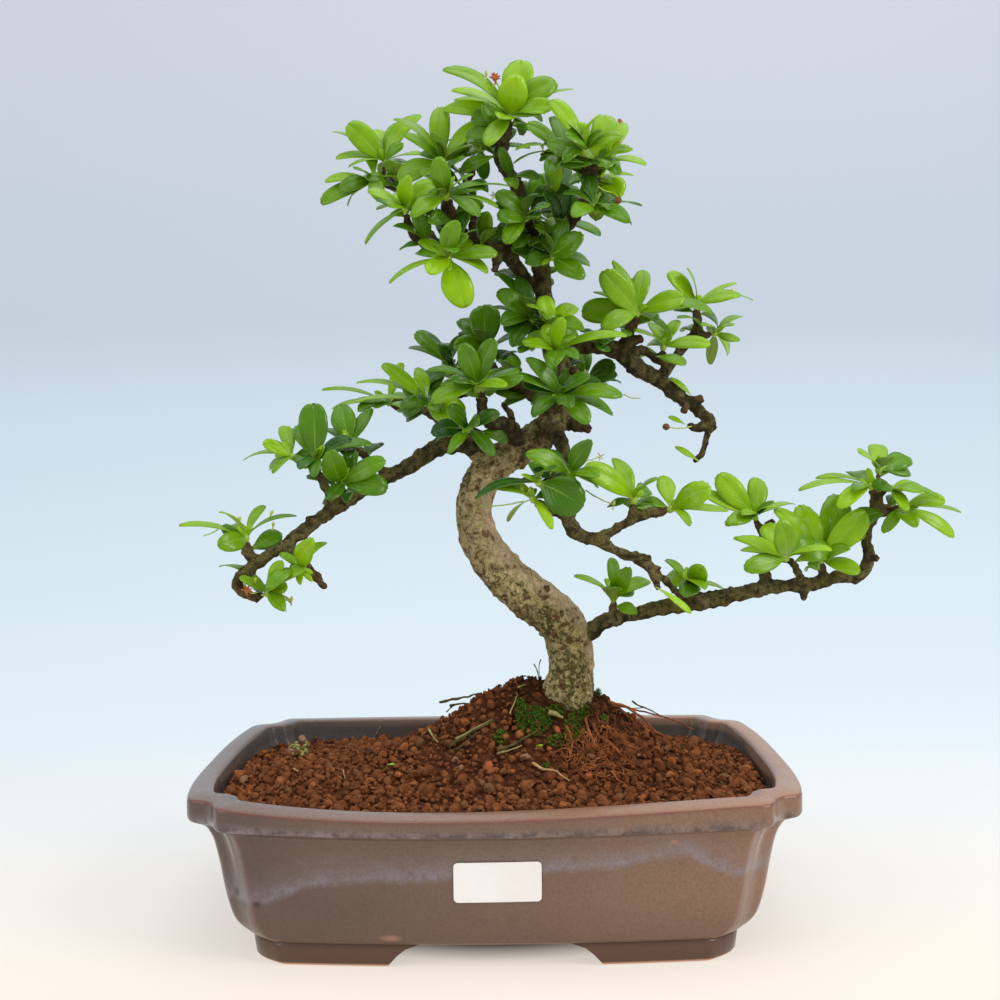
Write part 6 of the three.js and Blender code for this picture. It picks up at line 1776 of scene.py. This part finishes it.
# Crumbs of another colour: picture point, size.
PEBBLES = [
    ((525, 758), 2.4), ((461, 769), 1.5), ((455, 761), 1.8), ((290, 753), 2.6), ((302, 740), 2.2),
    ((243, 781), 2.4),
]
CHIPS = [((488, 768), 3.0), ((588, 778), 2.8), ((557, 731), 2.0), ((404, 748), 2.6), ((398, 776), 1.8)]
LEAFLETS = [((536, 749), 3.2), ((387, 768), 3.6)]
# Moss: middle and half widths of each patch in the picture, and how many sprigs.
MOSS_PATCHES = [
    (528, 715, 12, 9, 120), (586, 711, 8, 8, 70), (534, 722, 18, 15, 300), (575, 729, 11, 15, 170),
    (501, 738, 6, 7, 50), (598, 693, 3, 4, 14), (605, 720, 4, 4, 20),
    (547, 768, 4, 4, 22), (520, 706, 6, 6, 40), (560, 742, 14, 6, 50),
    (556, 712, 10, 6, 60), (304, 752, 9, 5, 34),
]


def on_soil(points, lift):
    """Points on the soil along a stick, none of them far behind the one before."""
    found = []
    for u, v in points:
        at = spot(u, v)
        if found and abs(at[1] - found[-1][1]) > MOST_DEPTH_STEP:
            at = spot(u, v, found[-1][1])
        found.append(at)
    return [lifted(at, lift) for at in found]


def root_hairs(shape, draw):
    """A mat of fine roots right of the trunk, mostly downhill."""
    for _ in range(230):
        u, v = 562 + 76 * draw(), 728 + 50 * draw()
        if abs(u - 600) / 42 + abs(v - 753) / 34 > 1.15:
            continue
        heading = -1.15 + 4.0 * (draw() - 0.5) + 0.9 * (u - 590) / 60
        line = [lifted(spot(u, v), 0.3)]
        for _ in range(4):
            heading += 2.4 * (draw() - 0.5)
            step = 1.6 + 2.4 * draw()
            x, y = line[-1][0] + step * math.cos(heading), line[-1][1] + step * math.sin(heading)
            line.append(np.array([x, y, ground(x, y) + 0.3 + 1.5 * draw()]))
        tube(shape, line, 0.14 + 0.34 * draw() ** 3, 4, 0.5)


def make_litter():
    """Sticks, roots, pebbles and fallen scraps."""
    dark, straw, pale, root, stones, chips = (Shape() for _ in range(6))
    for shape, lying in ((dark, DARK_STICKS), (straw, STRAWS), (pale, PALE_ROOTS)):
        for points, radius, lift in lying:
            tube(shape, on_soil(points, lift), radius)
    for points, radius in SKY_STICKS:
        tube(dark, [spot(u, v, 12.0 if u < 600 else -6.0) for u, v in points], radius)
    for points, radius, lift in THICK_ROOTS:
        tube(root, on_soil(points, lift), radius, 7, 0.6)
    for points, radius in SKY_ROOTS:
        tube(root, [spot(u, v, -4.0) for u, v in points], radius, 7, 0.5)
    draw = random_source(SEEDS["litter"])
    for shape, places in ((stones, PEBBLES), (chips, CHIPS)):
        for (u, v), size in places:
            points, faces = crumb(970 + int(size * 7), 60)
            shape.add((points * size) @ turned(draw).T + lifted(spot(u, v), 0.6), faces)
    for _ in range(26):
        at = lifted(spot(284 + 32 * draw(), 746 + 12 * draw()), 0.8 + draw())
        points, faces = crumb(971, 24)
        straw.add((points * (0.5 + draw())) @ turned(draw).T + at, faces)
    root_hairs(root, draw)
    for shape, name, paint in (
        (dark, "dry_sticks", DRY_STICK), (straw, "straws", STRAW), (pale, "pale_roots", PALE_ROOT),
        (root, "root_hairs", ROOT), (stones, "pale_grains", PEBBLE), (chips, "clay_chips", CHIP),
    ):
        piece = shape.build(name, paint.material)


def make_moss():
    """Cushions of sprigs: a short stem with narrow leaflets all round."""
    draw = random_source(SEEDS["moss"])
    shape = Shape()
    for u0, v0, half_u, half_v, count in MOSS_PATCHES:
        for _ in range(int(count * 1.3)):
            turn, far = FULL_TURN * draw(), math.sqrt(draw())
            at = spot(u0 + half_u * far * math.cos(turn), v0 + half_v * far * math.sin(turn))
            height = 0.6 + 1.5 * draw() * (1.2 - far)
            shade = draw()
            for k in range(7):
                side = k * GOLDEN_TURN + draw()
                rise = k / 7
                start = lifted(at, height * rise - 0.2)
                way = unit(np.array([math.cos(side), math.sin(side), 0.25 + 0.9 * rise + 0.3 * draw()]))
                across = unit(np.cross(way, np.array([0, 0, 1.0]))) * (0.15 + 0.10 * draw())
                tip = start + way * (0.8 + 0.7 * draw())
                mid = start + way * 0.6
                shape.add([start, mid + across, tip, mid - across, lifted(mid, 0.12)],
                          [(0, 1, 4), (1, 2, 4), (2, 3, 4), (3, 0, 4), (0, 3, 2, 1)], (shade, rise, 0, 0))
    piece = shape.build("moss", MOSS.material, False, "sprig")


make_litter()
make_moss()


def hung(x, z, forward=3.0):
    """This place as the eye sees it, a little nearer than the wood that the eye sees nearest to it."""
    wood = min((middle for middle, _ in MIDDLES), key=lambda m: float(np.hypot(*(flat_place(m) - (x, z)))))
    return seen(x, z, wood[1] - forward)


# Buds, flowers and fruit by x and z as the eye sees them.
BUDS = [
    (-1, 387), (2, 381), (-7, 352), (25, 353), (30, 355), (-118, 151), (-113, 151), (-96, 142), (-99, 139),
    (-105, 183), (-104, 177.5), (-120, 180), (-70, 219), (-8, 186), (57, 186), (14, 193), (17, 193),
    (69, 193), (89.5, 184.5), (113, 285), (30, 203), (-2, 384),
]
STALKS = [
    ((8, 375), (3, 385.5), 0.5), ((34, 353), (50, 367), 0.35), ((46, 338), (57, 332), 0.4),
    ((-137, 173), (-128, 178), 0.35),
    ((15, 188), (-8, 186), 0.35), ((44, 193), (57, 186), 0.35), ((20, 198), (30, 203), 0.35),
    ((41, 207), (51, 209), 0.35),
    ((94, 222.5), (82, 222.5), 0.35), ((-112, 146), (-117, 147), 0.4), ((-110, 145), (-96, 142), 0.35),
    ((-3, 248), (-16, 252), 0.35), ((62, 238), (70, 236), 0.3),
]
FLOWERS = [(2, 331), (40, 237), (45, 236.5), (45, 234), (44, 248), (51, 209)]
DRIED_FLOWERS = [(3, 385.5, 2.6), (-117, 147, 2.4), (60, 357, 1.9), (61, 365, 1.3)]
BERRIES = [(60, 328.5, 1.8), (82, 222.5, 1.8)]
LONE_LEAVES = [
    ((91, 223.5), (83, 227.5), 0.1, 3.2), ((97.5, 206), (86.5, 213.5), 0.1, 4.4),
    ((94, 237), (84, 246), 0.2, 4.4),
    ((76.5, 147), (94, 134), 0.0, 3.6),
]


def make_buds():
    green, petals, dried, fruit, leaves = (Shape() for _ in range(5))
    draw = random_source(SEEDS["buds"])
    for x, z in BUDS:
        at = hung(x, z)
        way = unit(np.array([draw() - 0.5, -0.3, 1.0]))
        for _ in range(3):
            lean = unit(way + 0.5 * np.array([draw() - 0.5, draw() - 0.5, draw() - 0.5]))
            ball(green, at + lean * 0.9, 0.75 + 0.3 * draw(), (0.7, 0.7, 1.4), lean)
        tube(green, [at - way * 2.2, at], 0.4, 5, 0.8)
    for first, last, radius in STALKS:
        start, end = hung(*first), hung(*last)
        tube(green, [start, lifted((start + end) / 2, -0.8), end], radius, 5, 0.8)
    for x, z in FLOWERS:
        at = hung(x, z, 5.0)
        for k in range(5):
            turn = k * 2 * math.pi / 5 + draw()
            way = unit(np.array([math.cos(turn), -0.5, math.sin(turn)]))
            ball(petals, at + way * 1.2, 1.1, (0.55, 0.3, 1.1), way)
        ball(petals, at, 0.6)
    for x, z, size in DRIED_FLOWERS:
        at = hung(x, z, 4.0)
        for k in range(7):
            turn = k * GOLDEN_TURN
            way = unit(np.array([math.cos(turn), 0.5 * draw() - 0.6, math.sin(turn) + 0.4]))
            ball(dried, at + way * size * 0.5, size * 0.6, (0.4, 0.3, 1.0), way)
        ball(dried, at, size * 0.5)
    for x, z, size in BERRIES:
        at = hung(x, z, 4.0)
        ball(fruit, at, size, (1, 1, 0.92), None, 120)
        ball(fruit, at + np.array([0, -size * 0.9, 0]), size * 0.3)
    for first, (x, z), tone_and_painted_shade, width in LONE_LEAVES:
        start = hung(*first)
        leaf_shape(leaves, start, seen(x, z, start[1] - 1.0), 0.5, width, 0.05, draw, tone_and_painted_shade, 0.35, SMALL_LEAF)
    for (u, v), size in LEAFLETS:
        start = lifted(spot(u, v), 1.2)
        tip = start + np.array([size, -1.0, 1.0])
        leaf_shape(leaves, start, tip, 0.2, size * 0.5, 0.05, draw, 0.0, 0.35, SMALL_LEAF)
    for shape, name, paint, attribute in (
        (green, "buds", BUD, None), (petals, "flowers", PETAL, None), (dried, "dried_flowers", DRIED, None),
        (fruit, "berries", BERRY, None), (leaves, "lone_leaves", LEAF, "leaf"),
    ):
        piece = shape.build(name, paint.material, True, attribute)


make_buds()

# Floor, backdrop, light and camera

# The sheet glows, though it is no lamp: painted light that fills the shadows round the pot. STAGE_PAINT is
# the share of its colour that the lamps light.
STAGE_GLOW, STAGE_PAINT = 0.62, 0.42
UNDER_POT = (0.112, 0.082)


def stage_material(stops, low, high):
    """A pale sheet whose colour changes by height and a share of the distance back, and which glows as
    painted light that fills the shadows round the pot.
    """
    p = Paint("studio_sheet", None, Roughness=1.0, Specular_IOR_Level=0.1)
    where = p.where()
    _, y, z = p.axes(where)
    colour = p.ramp(p.share(p.sum("MULTIPLY_ADD", y, 0.3, z), low, high), stops)
    # No glow under the pot, so that its shadow shows between the feet: without the glow the floor there is
    # darker, a painted shadow as well as the lamps' own.
    half_x, half_y = UNDER_POT
    far = p.length(p.stretch(where, (1 / half_x, 1 / half_y, 0), (-SHIFT[0] / 1000 / half_x, 0, 0)))
    p.set(Base_Color=p.mix(1 - STAGE_PAINT, colour, (0, 0, 0, 1)), Emission_Color=colour)
    p.set(Emission_Strength=p.share(far, 0.75, 0.98, STAGE_GLOW))
    return p.material


def make_stage():
    """One sheet: a floor that curves up into the wall behind."""
    profile = [(-1.6, 0.0), (0.55, 0.0)]
    for i in range(1, 13):
        turn = math.pi / 2 * i / 12
        profile.append((0.55 + 0.5 * math.sin(turn), 0.5 * (1 - math.cos(turn))))
    profile.append((1.05, 2.6))
    points = [(x, y, z - 0.0004) for y, z in profile for x in (-3.2, 3.2)]
    faces = [(2 * i, 2 * i + 1, 2 * i + 3, 2 * i + 2) for i in range(len(profile) - 1)]
    mesh = bpy.data.meshes.new("studio_sheet")
    mesh.from_pydata(points, [], faces)
    mesh.polygons.foreach_set("use_smooth", [True] * len(faces))
    sheet = link("studio_sheet", mesh)
    stops = [
        (0.0, srgb(248, 236, 224)), (0.02, srgb(246, 237, 227)), (0.065, srgb(238, 238, 236)),
        (0.13, srgb(224, 235, 241)), (0.33, srgb(213, 228, 237)), (0.52, srgb(202, 217, 228)),
        (0.64, srgb(193, 204, 215)), (1.0, srgb(203, 208, 218)),
    ]
    mesh.materials.append(stage_material(stops, -0.05, 1.1))


def area_light(name, place_at, aim, size, power, colour):
    light = bpy.data.lights.new(name, "AREA")
    light.shape = "RECTANGLE"
    light.size, light.size_y = size
    light.energy = power
    light.color = colour
    lamp = link(name, light)
    lamp.location = place_at
    lamp.rotation_mode = "QUATERNION"
    lamp.rotation_quaternion = (Vector(aim) - Vector(place_at)).to_track_quat("-Z", "Y")


def make_light():
    world = bpy.data.worlds.new("studio_air")
    world.use_nodes = True
    back = world.node_tree.nodes["Background"]
    back.inputs["Color"].default_value = (0.90, 0.95, 1.0, 1)
    back.inputs["Strength"].default_value = 0.62
    bpy.context.scene.world = world
    area_light("overhead", (0.1, -0.1, 1.4), (0, 0, 0.12), (1.4, 1.2), 8.0, (1.0, 0.98, 0.95))
    area_light("left", (-1.25, -0.75, 0.8), (0, 0, 0.14), (0.9, 0.9), 5.0, (0.97, 0.985, 1.0))
    area_light("right", (1.15, -0.65, 0.95), (0, 0, 0.16), (0.7, 0.7), 11.0, (1.0, 0.95, 0.88))


def make_camera():
    data = bpy.data.cameras.new("camera")
    data.sensor_width = SENSOR
    data.lens = SENSOR * FOCAL_PIXELS / FRAME_PIXELS
    data.clip_start, data.clip_end = 0.01, 20.0
    camera = link("camera", data)
    camera.location = Vector((EYE + SHIFT) / 1000)
    camera.rotation_mode = "QUATERNION"
    camera.rotation_quaternion = camera_turn().to_quaternion()
    bpy.context.scene.camera = camera


bpy.context.scene.view_settings.view_transform = "Standard"
make_stage()
make_light()
make_camera()
